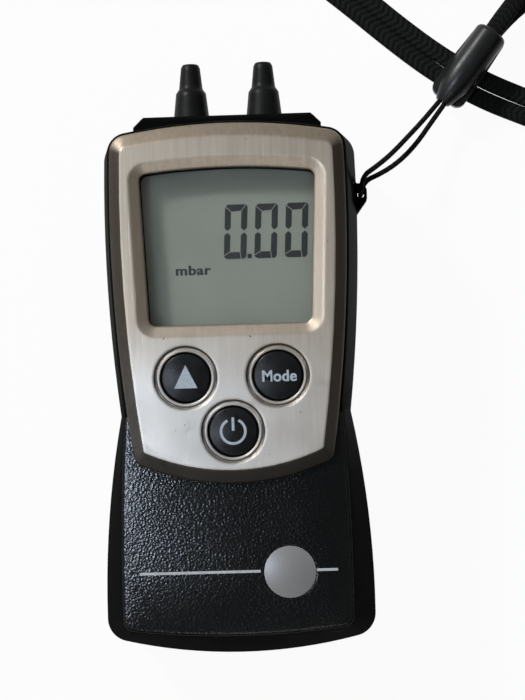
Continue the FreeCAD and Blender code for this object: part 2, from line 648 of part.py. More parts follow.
def display_holder():
    half_x = CELL_WIDTH / 2 + HOLDER_GAP + HOLDER_WALL
    half_y = CELL_LENGTH / 2 + HOLDER_GAP + HOLDER_WALL
    frame = box(-half_x, half_x, WINDOW_CENTRE_Y - half_y, WINDOW_CENTRE_Y + half_y, BOARD_TOP_Z,
                CELL_BOTTOM_Z + HOLDER_GRIP)
    pocket_x, pocket_y = half_x - HOLDER_WALL, half_y - HOLDER_WALL
    frame = frame.cut(box(-pocket_x, pocket_x, WINDOW_CENTRE_Y - pocket_y, WINDOW_CENTRE_Y + pocket_y,
                          CELL_BOTTOM_Z, CELL_TOP_Z))
    ledge_x, ledge_y = pocket_x - STRIP_WIDTH, pocket_y - STRIP_WIDTH - 2 * HOLDER_WALL
    frame = frame.cut(box(-ledge_x, ledge_x, WINDOW_CENTRE_Y - ledge_y, WINDOW_CENTRE_Y + ledge_y,
                          BOARD_TOP_Z, CELL_TOP_Z))
    for strip in contact_strips().Solids:
        bounds = strip.BoundBox
        frame = frame.cut(box(bounds.XMin - STRIP_GAP, bounds.XMax + STRIP_GAP, bounds.YMin - STRIP_GAP,
                              bounds.YMax + STRIP_GAP, bounds.ZMin, bounds.ZMax))
    return frame


def contact_strips():
    offset = CELL_LENGTH / 2 - STRIP_WIDTH / 2 - HOLDER_WALL
    half = STRIP_LENGTH / 2
    strips = []
    for side in (-1, 1):
        y = WINDOW_CENTRE_Y + side * offset
        strips.append(box(-half, half, y - STRIP_WIDTH / 2, y + STRIP_WIDTH / 2, BOARD_TOP_Z, CELL_BOTTOM_Z))
    return Part.makeCompound(strips)


# Keys and their switches

def key_cap(x, y):
    """Round cap with a crowned top, a flange under the front wall and a stem over its switch."""
    top = PLATE_Z + KEY_PROUD
    edge_top = top - KEY_CROWN
    flange_top = ROOF_Z - KEY_GAP
    cap = upright(KEY_RADIUS, x, y, flange_top - KEY_FLANGE_HEIGHT, edge_top)
    cap = cap.makeFillet(KEY_EDGE, edges_at(cap, edge_top))
    flat_radius = KEY_RADIUS - KEY_EDGE
    crown_radius = (flat_radius ** 2 + KEY_CROWN ** 2) / (2 * KEY_CROWN)
    crown = Part.makeSphere(crown_radius, Vector(x, y, top - crown_radius))
    crown = crown.common(upright(flat_radius, x, y, edge_top - KEY_CROWN, top + OVERSHOOT))
    flange = upright(KEY_RADIUS + KEY_FLANGE, x, y, flange_top - KEY_FLANGE_HEIGHT, flange_top)
    stem = upright(KEY_STEM_RADIUS, x, y, KEY_STEM_Z, flange_top)
    return cap.fuse([crown, flange, stem]).removeSplitter()


def keypad_mat():
    """Soft sheet that seals the switches, with a hole round each stem."""
    low = min(y for x, y in KEY_CENTRES.values()) - KEY_STEM_RADIUS - MAT_MARGIN
    high = max(y for x, y in KEY_CENTRES.values()) + KEY_STEM_RADIUS + MAT_MARGIN / 2
    half = KEY_PITCH / 2 + KEY_STEM_RADIUS + MAT_MARGIN / 2
    sheet = box(-half, half, low, high, BOARD_TOP_Z, BOARD_TOP_Z + MAT_THICKNESS)
    sheet = sheet.makeFillet(MAT_MARGIN, standing_edges(sheet))
    for x, y in KEY_CENTRES.values():
        sheet = sheet.cut(upright(KEY_STEM_RADIUS + 2 * KEY_GAP, x, y, BOARD_TOP_Z, BOARD_TOP_Z + MAT_THICKNESS))
    return sheet


def switch_domes():
    domes = []
    outer = (DOME_RADIUS ** 2 + DOME_HEIGHT ** 2) / (2 * DOME_HEIGHT)
    for x, y in KEY_CENTRES.values():
        room = upright(DOME_RADIUS, x, y, BOARD_TOP_Z, BOARD_TOP_Z + DOME_HEIGHT)
        centre = Vector(x, y, BOARD_TOP_Z + DOME_HEIGHT - outer)
        cap = Part.makeSphere(outer, centre).cut(Part.makeSphere(outer - DOME_SHEET, centre))
        domes.append(cap.common(room))
    return Part.makeCompound(domes)


# Circuit board and what it carries

def circuit_board():
    """Board that drops in between the screw bosses, with an open slot in its edge for each."""
    board = prism(PARTING_OUTLINE.wire(BOARD_Z, WALL + BOARD_GAP), BOARD_THICKNESS)
    board = board.cut(box(-HIGH_HALF_WIDTH, HIGH_HALF_WIDTH, BOARD_TOP_Y, HIGH_END_Y, BOARD_Z, BOARD_TOP_Z))
    slot_radius = BOSS_RADIUS + PORT_GAP
    for x, y in BOSSES:
        board = board.cut(upright(slot_radius, x, y, BOARD_Z, BOARD_TOP_Z))
        x0, x1 = sorted((x, math.copysign(abs(x) + LOW_HALF_WIDTH, x)))
        board = board.cut(box(x0, x1, y - slot_radius, y + slot_radius, BOARD_Z, BOARD_TOP_Z))
    return board


def board_components():
    """Parts soldered to the underside: the controller, a crystal can and capacitors."""
    edge_x = BAY_HALF_WIDTH + BAY_WALL + PART_GAP
    parts = [box(-CHIP_SIZE / 2, CHIP_SIZE / 2, CHIP_LOW_Y, CHIP_LOW_Y + CHIP_SIZE, BOARD_Z - CHIP_HEIGHT, BOARD_Z)]
    parts.append(box(edge_x, edge_x + CRYSTAL_WIDTH, CRYSTAL_LOW_Y, CRYSTAL_LOW_Y + CRYSTAL_LENGTH,
                     BOARD_Z - CRYSTAL_HEIGHT, BOARD_Z))
    for index in range(CAPACITOR_COUNT):
        low_y = CRYSTAL_LOW_Y + CAPACITOR_PITCH * index
        parts.append(box(-edge_x - CAPACITOR_WIDTH, -edge_x, low_y, low_y + CAPACITOR_LENGTH,
                         BOARD_Z - CAPACITOR_HEIGHT, BOARD_Z))
    return Part.makeCompound(parts)


def pressure_sensor():
    """Differential sensor: a moulded case under the board with one stub for each hose nozzle."""
    half = SENSOR_WIDTH / 2
    case = box(-half, half, SENSOR_END_Y - SENSOR_LENGTH, SENSOR_END_Y, BOARD_Z - SENSOR_HEIGHT, BOARD_Z)
    case = case.makeFillet(SENSOR_CORNER, standing_edges(case))
    for side in (-1, 1):
        x = side * NOZZLE_PITCH / 2
        start, end = SENSOR_END_Y - SENSOR_CORNER, SENSOR_END_Y + SENSOR_STUB_LENGTH
        case = case.fuse(lengthwise(SPIGOT_RADIUS, x, NOZZLE_Z, start, end))
        case = case.cut(lengthwise(NOZZLE_BORE_RADIUS, x, NOZZLE_Z, start, end))
    return case


def sensor_tube(side):
    x = side * NOZZLE_PITCH / 2
    start = SENSOR_END_Y + TUBE_GAP
    end = SHANK_END_Y - TUBE_GAP
    tube = lengthwise(SPIGOT_RADIUS + TUBE_WALL, x, NOZZLE_Z, start, end)
    return tube.cut(lengthwise(SPIGOT_RADIUS, x, NOZZLE_Z, start, end))


# Port block and nozzles

def port_block():
    """Block that carries both nozzles, held behind the end wall by its flange."""
    wide = PORT_HALF_WIDTH + PORT_CHAMFER
    corners = [(-wide, PORT_INNER_Y), (wide, PORT_INNER_Y),
               (wide, PORT_END_Y - PORT_CHAMFER), (PORT_HALF_WIDTH, PORT_END_Y),
               (-PORT_HALF_WIDTH, PORT_END_Y), (-wide, PORT_END_Y - PORT_CHAMFER)]
    points = [Vector(x, y, PORT_BACK_Z) for x, y in corners]
    body = Part.Face(Part.makePolygon(points + [points[0]])).extrude(Vector(0, 0, PORT_FRONT_Z - PORT_BACK_Z))
    end_edges = [e for z in (PORT_BACK_Z, PORT_FRONT_Z) for e in edges_at(body, z)
                 if abs(e.CenterOfMass.y - PORT_END_Y) < SAME]
    body = body.makeFillet(PORT_EDGE, end_edges)
    flange = box(-wide - PORT_FLANGE, wide + PORT_FLANGE, PORT_INNER_Y, PORT_INNER_Y + PORT_FLANGE_DEPTH,
                 PORT_BACK_Z - PORT_FLANGE, PORT_FRONT_Z + PORT_FLANGE)
    body = body.fuse(flange)
    for side in (-1, 1):
        x = side * NOZZLE_PITCH / 2
        body = body.cut(lengthwise(NOZZLE_SHANK_RADIUS, x, NOZZLE_Z, PORT_INNER_Y, PORT_END_Y))
    return body


def hose_nozzle(side):
    """Nozzle turned about its own axis: stepped cone outside, shank in the block, spigot inside."""
    tip = TOTAL_LENGTH
    spigot_end = SHANK_END_Y - SPIGOT_LENGTH
    profile = [
        (NOZZLE_BORE_RADIUS, spigot_end), (SPIGOT_RADIUS, spigot_end), (SPIGOT_RADIUS, SHANK_END_Y),
        (NOZZLE_SHANK_RADIUS, SHANK_END_Y), (NOZZLE_SHANK_RADIUS, PORT_END_Y), (NOZZLE_BASE_RADIUS, PORT_END_Y),
        (NOZZLE_NECK_RADIUS, NOZZLE_NECK_Y), (NOZZLE_STEM_RADIUS, NOZZLE_NECK_Y + NOZZLE_SHOULDER),
        (NOZZLE_TIP_RADIUS, tip - NOZZLE_TIP_EDGE), (NOZZLE_TIP_RADIUS - NOZZLE_TIP_EDGE / 2, tip),
        (NOZZLE_BORE_RADIUS, tip),
    ]
    return turned(profile, Vector(side * NOZZLE_PITCH / 2, 0, NOZZLE_Z), Vector(0, 1, 0))


def nozzle_seals():
    """Flat ring on each shank, squeezed between the block and its nut."""
    rings = []
    for side in (-1, 1):
        x = side * NOZZLE_PITCH / 2
        ring = lengthwise(SEAL_RADIUS, x, NOZZLE_Z, PORT_INNER_Y - SEAL_THICKNESS, PORT_INNER_Y)
        rings.append(ring.cut(lengthwise(NOZZLE_SHANK_RADIUS, x, NOZZLE_Z, SHANK_END_Y, PORT_END_Y)))
    return Part.makeCompound(rings)


def nozzle_nuts():
    """Six-sided nut that holds each nozzle in the block."""
    nuts = []
    for side in (-1, 1):
        x = side * NOZZLE_PITCH / 2
        y = PORT_INNER_Y - SEAL_THICKNESS - NUT_HEIGHT
        corner = NUT_ACROSS / 2 / math.cos(math.pi / NUT_SIDES)
        angles = [2 * math.pi * k / NUT_SIDES for k in range(NUT_SIDES)]
        points = [Vector(x + corner * math.cos(a), y, NOZZLE_Z + corner * math.sin(a)) for a in angles]
        nut = Part.Face(Part.makePolygon(points + [points[0]])).extrude(Vector(0, NUT_HEIGHT, 0))
        nuts.append(nut.cut(lengthwise(NOZZLE_SHANK_RADIUS, x, NOZZLE_Z, y, y + NUT_HEIGHT)))
    return Part.makeCompound(nuts)


# Batteries, contacts and door

def battery(side):
    """AAA cell: can with rounded ends and its positive nipple, which points up on the left cell."""
    low = BAY_LOW_Y + CONTACT_SHEET + (SPRING_ROOM if side < 0 else BATTERY_NIPPLE_LENGTH)
    can = lengthwise(CELL_RADIUS, side * BATTERY_X, BATTERY_Z, low, low + BATTERY_LENGTH)
    can = can.makeFillet(BATTERY_EDGE, [e for e in can.Edges if e.Closed])
    tip_y = low + BATTERY_LENGTH if side < 0 else low - BATTERY_NIPPLE_LENGTH
    nipple = lengthwise(BATTERY_NIPPLE_RADIUS, side * BATTERY_X, BATTERY_Z, tip_y, tip_y + BATTERY_NIPPLE_LENGTH)
    return can.fuse(nipple)


def contact_plate(x0, x1, end_y):
    """Thin plate on one end wall of the battery bay."""
    inside = CONTACT_SHEET if end_y < CENTRE_Y / 2 else -CONTACT_SHEET
    low, high = sorted((end_y, end_y + inside))
    return box(x0, x1, low, high, BATTERY_Z - CELL_RADIUS + CONTACT_MARGIN,
               BATTERY_Z + CELL_RADIUS - CONTACT_MARGIN)


def bridge_contact():
    return contact_plate(CONTACT_MARGIN - BAY_HALF_WIDTH, BAY_HALF_WIDTH - CONTACT_MARGIN, BAY_LOW_Y)


def end_contacts():
    plates = []
    for side in (-1, 1):
        x0, x1 = sorted((side * CONTACT_MARGIN, side * (BAY_HALF_WIDTH - CONTACT_MARGIN)))
        plates.append(contact_plate(x0, x1, BAY_HIGH_Y))
    return Part.makeCompound(plates)


def battery_springs():
    """One coil spring on each negative end, on the bridge at the left and on a plate at the right."""
    pitch = (SPRING_ROOM - 2 * SPRING_WIRE) / SPRING_TURNS
    springs = []
    for side, start in ((-1, BAY_LOW_Y + CONTACT_SHEET), (1, BAY_HIGH_Y - CONTACT_SHEET - SPRING_ROOM)):
        helix = Part.makeHelix(pitch, pitch * SPRING_TURNS, SPRING_RADIUS)
        beginning = Vector(SPRING_RADIUS, 0, 0)
        forward = Vector(0, SPRING_RADIUS, pitch / (2 * math.pi)).normalize()
        outward = Vector(SPRING_WIRE, 0, 0)
        sideways = forward.cross(outward)
        corners = [beginning + outward, beginning + sideways, beginning - outward, beginning - sideways]
        section = Part.makePolygon(corners + [corners[0]])
        spring = Part.Wire(helix).makePipeShell([section], True, True)
        spring.Placement = FreeCAD.Placement(Vector(side * BATTERY_X, start + SPRING_WIRE, BATTERY_Z),
                                             FreeCAD.Rotation(Vector(0, 0, 1), Vector(0, 1, 0)))
        springs.append(spring)
    return Part.makeCompound(springs)


def door_room():
    """Recess for the door, open at the bottom end, with a groove for its tongues."""
    half = DOOR_HALF_WIDTH + DOOR_GAP
    recess = box(-half, half, -OVERSHOOT, DOOR_TOP_Y + DOOR_GAP, -OVERSHOOT,
                 DOOR_RECESS + DOOR_THICKNESS + DOOR_GAP / 2)
    z0 = TONGUE_Z - DOOR_GAP / 2
    groove = box(-half - DOOR_TONGUE, half + DOOR_TONGUE, -OVERSHOOT, DOOR_TOP_Y + DOOR_GAP, z0,
                 z0 + DOOR_TONGUE_THICKNESS + DOOR_GAP)
    return recess.fuse(groove)


def battery_door():
    """Sliding door with two side tongues and finger grooves across its upper end."""
    low_y = LOW_CORNER
    door = rear_form().common(box(-DOOR_HALF_WIDTH, DOOR_HALF_WIDTH, -OVERSHOOT, DOOR_TOP_Y,
                                  DOOR_RECESS, DOOR_RECESS + DOOR_THICKNESS))
    tongue_half = DOOR_HALF_WIDTH + DOOR_TONGUE
    tongues = box(-tongue_half, tongue_half, low_y, DOOR_TOP_Y, TONGUE_Z, TONGUE_Z + DOOR_TONGUE_THICKNESS)
    door = door.fuse(tongues)
    for index in range(GRIP_COUNT):
        y = DOOR_TOP_Y - GRIP_SETBACK - GRIP_PITCH * index
        groove = Part.makeCylinder(GRIP_DEPTH, DOOR_HALF_WIDTH, Vector(-DOOR_HALF_WIDTH / 2, y, DOOR_RECESS),
                                   Vector(1, 0, 0))
        door = door.cut(groove)
    return door.removeSplitter()


# Fasteners and fittings

def housing_screws():
    screws = []
    for x, y in BOSSES:
        head = upright(SCREW_HEAD_RADIUS, x, y, SCREW_SINK, SCREW_SINK + SCREW_HEAD_HEIGHT)
        long, short = CROSS_HALF_LENGTH, CROSS_HALF_WIDTH
        cross = box(x - long, x + long, y - short, y + short, SCREW_SINK, SCREW_SINK + CROSS_DEPTH)
        cross = cross.fuse(box(x - short, x + short, y - long, y + long, SCREW_SINK, SCREW_SINK + CROSS_DEPTH))
        shank = upright(SCREW_RADIUS, x, y, SCREW_SINK + SCREW_HEAD_HEIGHT, SCREW_TIP_Z)
        screws.append(head.fuse(shank).cut(cross))
    return Part.makeCompound(screws)


def magnets():
    """Two disc magnets pressed into the inside of the back."""
    discs = [upright(MAGNET_RADIUS, side * MAGNET_PITCH / 2, MAGNET_Y, FLOOR - MAGNET_THICKNESS, FLOOR)
             for side in (-1, 1)]
    return Part.makeCompound(discs)


def round_inlay():
    """Low domed disc set in the lower front."""
    rim_z = FACE_Z + INLAY_RIM
    disc = upright(INLAY_RADIUS, INLAY_X, INLAY_Y, FACE_Z - INLAY_DEPTH, rim_z)
    dome_radius = (INLAY_RADIUS ** 2 + INLAY_CROWN ** 2) / (2 * INLAY_CROWN)
    dome = Part.makeSphere(dome_radius, Vector(INLAY_X, INLAY_Y, rim_z + INLAY_CROWN - dome_radius))
    dome = dome.common(upright(INLAY_RADIUS, INLAY_X, INLAY_Y, FACE_Z, rim_z + OVERSHOOT))
    return disc.fuse(dome).removeSplitter()


# Strap clasp, cord and band

def along_clasp(shape):
    """Turns a piece from its own frame, +X from nose to far end, to where the clasp lies."""
    shape.Placement = FreeCAD.Placement(Vector(CLASP_NOSE[0], CLASP_NOSE[1], 0),
                                        FreeCAD.Rotation(Vector(0, 0, 1), CLASP_TURN))
    return shape


def clasp_body(held):
    """Bullet-shaped upper half of the clasp, moulded round the ends that it holds."""
    tail = CLASP_LENGTH - CLASP_TAIL_ROUND
    nose_middle = Vector(CLASP_NOSE_LENGTH * CLASP_NOSE_SWELL_SHARE, 0, CLASP_NOSE_RADIUS + CLASP_NOSE_SWELL)
    tail_edge = CLASP_HALF_WIDTH - CLASP_TAIL_ROUND
    profile = Part.Face(Part.Wire([
        Part.LineSegment(Vector(0, 0, 0), Vector(0, 0, CLASP_NOSE_RADIUS)).toShape(),
        Part.Arc(Vector(0, 0, CLASP_NOSE_RADIUS), nose_middle,
                 Vector(CLASP_NOSE_LENGTH, 0, CLASP_HALF_WIDTH)).toShape(),
        Part.LineSegment(Vector(CLASP_NOSE_LENGTH, 0, CLASP_HALF_WIDTH), Vector(tail, 0, CLASP_HALF_WIDTH)).toShape(),
        Part.Arc(Vector(tail, 0, CLASP_HALF_WIDTH), rounded_corner((tail, tail_edge), CLASP_TAIL_ROUND),
                 Vector(CLASP_LENGTH, 0, tail_edge)).toShape(),
        Part.LineSegment(Vector(CLASP_LENGTH, 0, tail_edge), Vector(CLASP_LENGTH, 0, 0)).toShape(),
        Part.LineSegment(Vector(CLASP_LENGTH, 0, 0), Vector(0, 0, 0)).toShape(),
    ]))
    body = profile.revolve(Vector(0, 0, 0), Vector(1, 0, 0), 360)
    body.translate(Vector(0, 0, CLASP_AXIS_Z))
    wide = 2 * CLASP_HALF_WIDTH
    body = body.cut(box(-OVERSHOOT, CLASP_LENGTH + OVERSHOOT, -wide, wide, CLASP_AXIS_Z - wide, CLASP_SPLIT_Z))
    return along_clasp(body).cut(held)


def clasp_base(held):
    """Lower half of the clasp, which lies across the band: wide at the nose, narrower at the tail."""
    wide, narrow = CLASP_BASE_HALF_WIDTH, CLASP_HALF_WIDTH
    right = [(CLASP_BASE_SETBACK, -wide), (CLASP_BASE_SHOULDER, -wide), (CLASP_LENGTH, -narrow)]
    corners = right + [(x, -y) for x, y in reversed(right)]
    points = [Vector(x, y, CLASP_BASE_Z) for x, y in corners]
    slab = Part.Face(Part.makePolygon(points + [points[0]])).extrude(Vector(0, 0, CLASP_BASE_THICKNESS))
    for x, radius in ((CLASP_BASE_SETBACK, CLASP_BASE_CORNER), (CLASP_LENGTH, CLASP_BASE_TAIL_CORNER)):
        slab = slab.makeFillet(radius, [e for e in standing_edges(slab) if abs(e.CenterOfMass.x - x) < SAME])
    return along_clasp(slab).cut(held)


def rounded_path(name, points, diameter):
    """Straight runs with the largest tangent arcs that they allow. Prints the tightest arc."""
    corners = [Vector(*p) for p in points]
    ends = [corners[0]]
    arcs = []
    radii = []
    for before, corner, after in zip(corners, corners[1:], corners[2:]):
        inward = (before - corner).normalize()
        onward = (after - corner).normalize()
        half_turn = (math.pi - inward.getAngle(onward)) / 2
        reach = CORD_ARC_SHARE * min((before - corner).Length, (after - corner).Length)
        radius = reach / math.tan(half_turn)
        radii.append(radius)
        start = corner + inward * reach
        end = corner + onward * reach
        bisector = (inward + onward).normalize()
        middle = corner + bisector * (radius / math.cos(half_turn) - radius)
        arcs.append(Part.Arc(start, middle, end).toShape())
        ends += [start, end]
    ends.append(corners[-1])
    edges = []
    for index in range(0, len(ends), 2):
        edges.append(Part.LineSegment(ends[index], ends[index + 1]).toShape())
        if index // 2 < len(arcs):
            edges.append(arcs[index // 2])
    print(name, "radii", [round(r, 1) for r in radii], "least", round(min(radii) / diameter, 1), "diameters")
    return Part.Wire(edges)


def strap_cord():
    """Thin loop from the clasp's nose, through the eyelet and back."""
    path = rounded_path("strap_cord", CORD_ROUTE, CORD_DIAMETER)
    start, onward = Vector(*CORD_ROUTE[0]), Vector(*CORD_ROUTE[1])
    section = Part.Wire([Part.makeCircle(CORD_DIAMETER / 2, start, onward - start)])
    tube = path.makePipeShell([section], True, False)
    check_sweep("strap_cord", tube, path, math.pi * CORD_DIAMETER ** 2 / 4)
    return tube


def strap_band():
    """Flat braided band: out of the clasp, round in a loop and a bight, and back beside itself."""
    path = rounded_path("strap_band", BAND_ROUTE, BAND_WIDTH)
    start, onward = Vector(*BAND_ROUTE[0]), Vector(*BAND_ROUTE[1])
    forward = (onward - start).normalize()
    across = forward.cross(Vector(0, 0, 1)).normalize() * (BAND_WIDTH / 2)
    up = across.cross(forward).normalize() * (BAND_THICKNESS / 2)
    corners = [start + across + up, start - across + up, start - across - up, start + across - up]
    sweep = Part.BRepOffsetAPI.MakePipeShell(path)
    sweep.setBiNormalMode(Vector(0, 0, 1))
    sweep.add(Part.makePolygon(corners + [corners[0]]))
    sweep.build()
    sweep.makeSolid()
    band = sweep.shape()
    check_sweep("strap_band", band, path, BAND_WIDTH * BAND_THICKNESS)
    return band


def check_sweep(name, solid, path, section_area):
    print(name, "length", round(path.Length, 1), "volume ratio", round(solid.Volume / (section_area * path.Length), 4))


def main():
    strap = [strap_cord(), strap_band()]
    parts = {
        "rear_housing": rear_housing(),
        "front_housing": front_housing(),
        "faceplate": faceplate(),
        "display_window": display_window(),
        "display_cell": display_cell(),
        "display_holder": display_holder(),
        "contact_strips": contact_strips(),
        "keypad_mat": keypad_mat(),
        "switch_domes": switch_domes(),
        "circuit_board": circuit_board(),
        "board_components": board_components(),
        "pressure_sensor": pressure_sensor(),
        "sensor_tube_left": sensor_tube(-1),
        "sensor_tube_right": sensor_tube(1),
        "port_block": port_block(),
        "hose_nozzle_left": hose_nozzle(-1),
        "hose_nozzle_right": hose_nozzle(1),
        "nozzle_seals": nozzle_seals(),
        "nozzle_nuts": nozzle_nuts(),
        "battery_left": battery(-1),
        "battery_right": battery(1),
        "bridge_contact": bridge_contact(),
        "end_contacts": end_contacts(),
        "battery_springs": battery_springs(),
        "battery_door": battery_door(),
        "housing_screws": housing_screws(),
        "back_magnets": magnets(),
        "round_inlay": round_inlay(),
        "clasp_body": clasp_body(strap),
        "clasp_base": clasp_base(strap),
        "strap_cord": strap[0],
        "strap_band": strap[1],
    }
    for name, (x, y) in KEY_CENTRES.items():
        parts["button_" + name] = key_cap(x, y)
    os.makedirs("parts", exist_ok=True)
    for node, shape in parts.items():
        placed = shape.copy()
        placed.translate(Vector(0, -CENTRE_Y, 0))
        placed.exportStep("parts/" + node + ".step")
        print(node, "valid" if placed.isValid() else "NOT VALID", "solids", len(placed.Solids),
              "volume", round(placed.Volume, 1))


main()
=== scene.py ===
"""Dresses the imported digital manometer: finishes, display print, key symbols, strap and stage."""
import json
import math

import bmesh
import bpy
from bpy.props import FloatProperty, FloatVectorProperty, IntProperty, PointerProperty, StringProperty
from mathutils import Matrix, Vector

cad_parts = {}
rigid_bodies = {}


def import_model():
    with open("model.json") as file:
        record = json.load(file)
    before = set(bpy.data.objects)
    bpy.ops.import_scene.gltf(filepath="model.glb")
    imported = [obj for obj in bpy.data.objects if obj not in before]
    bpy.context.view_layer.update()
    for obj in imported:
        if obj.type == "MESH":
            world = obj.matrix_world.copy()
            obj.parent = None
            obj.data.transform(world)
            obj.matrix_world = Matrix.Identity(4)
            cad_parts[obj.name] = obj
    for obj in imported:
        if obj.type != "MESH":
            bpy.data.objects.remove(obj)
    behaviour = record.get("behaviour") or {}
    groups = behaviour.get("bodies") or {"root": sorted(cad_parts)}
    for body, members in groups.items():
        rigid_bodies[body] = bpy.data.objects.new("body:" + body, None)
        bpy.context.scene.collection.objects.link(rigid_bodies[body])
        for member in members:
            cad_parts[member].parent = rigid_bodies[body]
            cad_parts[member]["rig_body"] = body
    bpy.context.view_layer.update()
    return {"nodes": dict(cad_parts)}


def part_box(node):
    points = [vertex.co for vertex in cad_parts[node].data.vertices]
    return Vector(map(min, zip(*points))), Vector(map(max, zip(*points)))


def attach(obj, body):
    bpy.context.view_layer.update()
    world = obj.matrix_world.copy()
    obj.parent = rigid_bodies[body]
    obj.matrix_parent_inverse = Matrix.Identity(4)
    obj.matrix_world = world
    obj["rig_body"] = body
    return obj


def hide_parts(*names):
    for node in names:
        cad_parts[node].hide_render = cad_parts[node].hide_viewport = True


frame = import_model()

bl_info = {
    "name": "Digital Manometer",
    "version": (1, 0, 0),
    "blender": (4, 5, 0),
    "location": "3D View > Sidebar > Manometer",
    "description": "Builds the visible pieces, finishes and stage of a pocket digital manometer",
    "category": "Add Mesh",
}

NODES = frame["nodes"]
MERGE_DISTANCE = 0.000002
FLAT_ANGLE = math.radians(0.6)
SHARP_ANGLE = math.radians(32)
PRESSED_ANGLE = math.radians(14)
FULL_TURN = 2 * math.pi
COPY_LIFT = 0.000001
PANEL_HEIGHT = 0.0220
SCUFF_COLOUR = (0.09, 0.09, 0.088)
SCRATCH_COLOUR = (0.60, 0.58, 0.55)
STAIN_COLOUR = (0.08, 0.07, 0.06)
# Near black painted onto the plate's steep flank as painted shade
PAINTED_FLANK_SHADE_COLOUR = (0.02, 0.018, 0.015)

# The strap's two routes, in metres in the object's frame. The band's starts and ends in the clasp
CORD_ROUTE = [
    (0.0371, 0.04427, 0.0043), (0.0344, 0.04117, 0.0047), (0.0312, 0.03777, 0.0064), (0.0280, 0.03437, 0.0090),
    (0.0252, 0.03197, 0.0115), (0.0230, 0.03037, 0.0131), (0.0225, 0.02737, 0.0131), (0.0225, 0.02737, 0.0069),
    (0.0233, 0.03017, 0.0069), (0.0262, 0.03137, 0.0067), (0.0293, 0.03327, 0.0062), (0.0325, 0.03637, 0.0053),
    (0.0355, 0.04047, 0.0045), (0.0379, 0.04367, 0.0043),
]
BAND_ROUTE = [
    (0.0468, 0.05607, 0.0051), (0.0496, 0.05997, 0.0041), (0.0540, 0.06497, 0.0021), (0.0614, 0.06797, 0.0008),
    (0.0700, 0.06577, 0.0008), (0.0766, 0.05877, 0.0008), (0.0778, 0.04877, 0.0008), (0.0724, 0.04037, 0.0008),
    (0.0622, 0.03757, 0.0008), (0.0519, 0.04157, 0.0008), (0.0438, 0.04517, 0.0008), (0.0361, 0.05007, 0.0008),
    (0.0290, 0.05577, 0.0008), (0.0215, 0.06237, 0.0008), (0.0142, 0.06837, 0.0008), (0.0055, 0.07317, 0.0008),
    (-0.0038, 0.07497, 0.0008), (-0.0123, 0.07257, 0.0008), (-0.0208, 0.06917, 0.0008), (-0.0296, 0.06857, 0.0008),
    (-0.0362, 0.07417, 0.0008), (-0.0369, 0.08277, 0.0008), (-0.0312, 0.08937, 0.0008), (-0.0224, 0.08997, 0.0008),
    (-0.0130, 0.08497, 0.0008), (-0.0034, 0.07977, 0.0008), (0.0065, 0.07637, 0.0008), (0.0158, 0.07117, 0.0008),
    (0.0235, 0.06477, 0.0008), (0.0310, 0.05817, 0.0008), (0.0379, 0.05277, 0.0008), (0.0452, 0.04817, 0.0008),
    (0.0532, 0.04457, 0.0008), (0.0618, 0.04087, 0.0008), (0.0700, 0.04317, 0.0008), (0.0746, 0.04957, 0.0008),
    (0.0736, 0.05737, 0.0008), (0.0682, 0.06297, 0.0008), (0.0613, 0.06477, 0.0009), (0.0548, 0.06297, 0.0017),
    (0.0503, 0.05997, 0.0027), (0.0468, 0.05607, 0.0035),
]


# Settings

def colour_property(name, description, default):
    return FloatVectorProperty(name=name, description=description, subtype="COLOR", size=3, min=0, max=1,
                               default=default)


def length_property(name, description, default):
    return FloatProperty(name=name, description=description, unit="LENGTH", subtype="DISTANCE", precision=5,
                         default=default)


class HousingSettings(bpy.types.PropertyGroup):
    side_colour: colour_property("Side colour", "Smooth black of the drafted sides", (0.0035, 0.0038, 0.0037))
    panel_colour: colour_property("Panel colour", "Grained black of the lower front", (0.0046, 0.0052, 0.0054))
    panel_gloss: FloatProperty(name="Front gloss", description="Weight of the clear gloss on the grained front",
                               subtype="FACTOR", default=0.5)
    grain_size: length_property("Grain size", "Distance between two grains of the lower front", 0.00038)
    grain_depth: length_property("Grain depth", "Height of the grain", 0.000044)
    waist_y: length_property("Waist", "Where the grained front begins", -0.0100)
    edge: length_property("Edge", "Rounding of the moulded edges", 0.0002)


class PlateSettings(bpy.types.PropertyGroup):
    colour: colour_property("Colour", "Tone of the brushed metal", (0.345, 0.289, 0.226))
    brush_width: length_property("Brush width", "Distance between two brush lines", 0.00007)
    brush_length: length_property("Brush length", "Length of a brush line", 0.006)
    edge: length_property("Edge", "Rounding of the pressed edges", 0.0007)
    # Painted highlight: the paler tone painted below the window and towards the left
    painted_highlight_colour: colour_property("Rubbed colour", "Silver that shows where hands have worn the plate",
                                   (0.455, 0.425, 0.385))
    # Painted shade: how far the steep flank's colour is darkened
    flank_shade: FloatProperty(name="Flank shade", description="Darkening of the steep outer flank",
                               subtype="FACTOR", default=0.78)


class DisplaySettings(bpy.types.PropertyGroup):
    reading: StringProperty(name="Reading", description="Digits and point on the display", default="0.00")
    unit_word: StringProperty(name="Unit", description="Pressure unit beside the digits", default="mbar")
    glass_colour: colour_property("Glass colour", "Grey green of the liquid crystal", (0.305, 0.328, 0.282))
    ink_colour: colour_property("Ink colour", "Dark of the segments", (0.012, 0.013, 0.012))
    digit_height: length_property("Digit height", "Height of one digit", 0.00930)
    digit_width: length_property("Digit width", "Width of one digit without its slant", 0.00392)
    digit_pitch: length_property("Digit pitch", "Distance from one digit to the next", 0.00511)
    stroke: length_property("Stroke", "Width of a segment", 0.00116)
    gap: length_property("Gap", "Space between two segments", 0.00013)
    slant: FloatProperty(name="Slant", description="Lean of the digits", subtype="ANGLE", default=math.radians(3))


class KeySettings(bpy.types.PropertyGroup):
    colour: colour_property("Colour", "Black of the caps", (0.0045, 0.0050, 0.0058))
    symbol_colour: colour_property("Symbol colour", "Pale grey of the symbols", (0.52, 0.62, 0.72))
    symbol_height: length_property("Symbol height", "Thickness of the printed symbols", 0.00004)
    edge: length_property("Edge", "Rounding of the caps' edges", 0.00012)


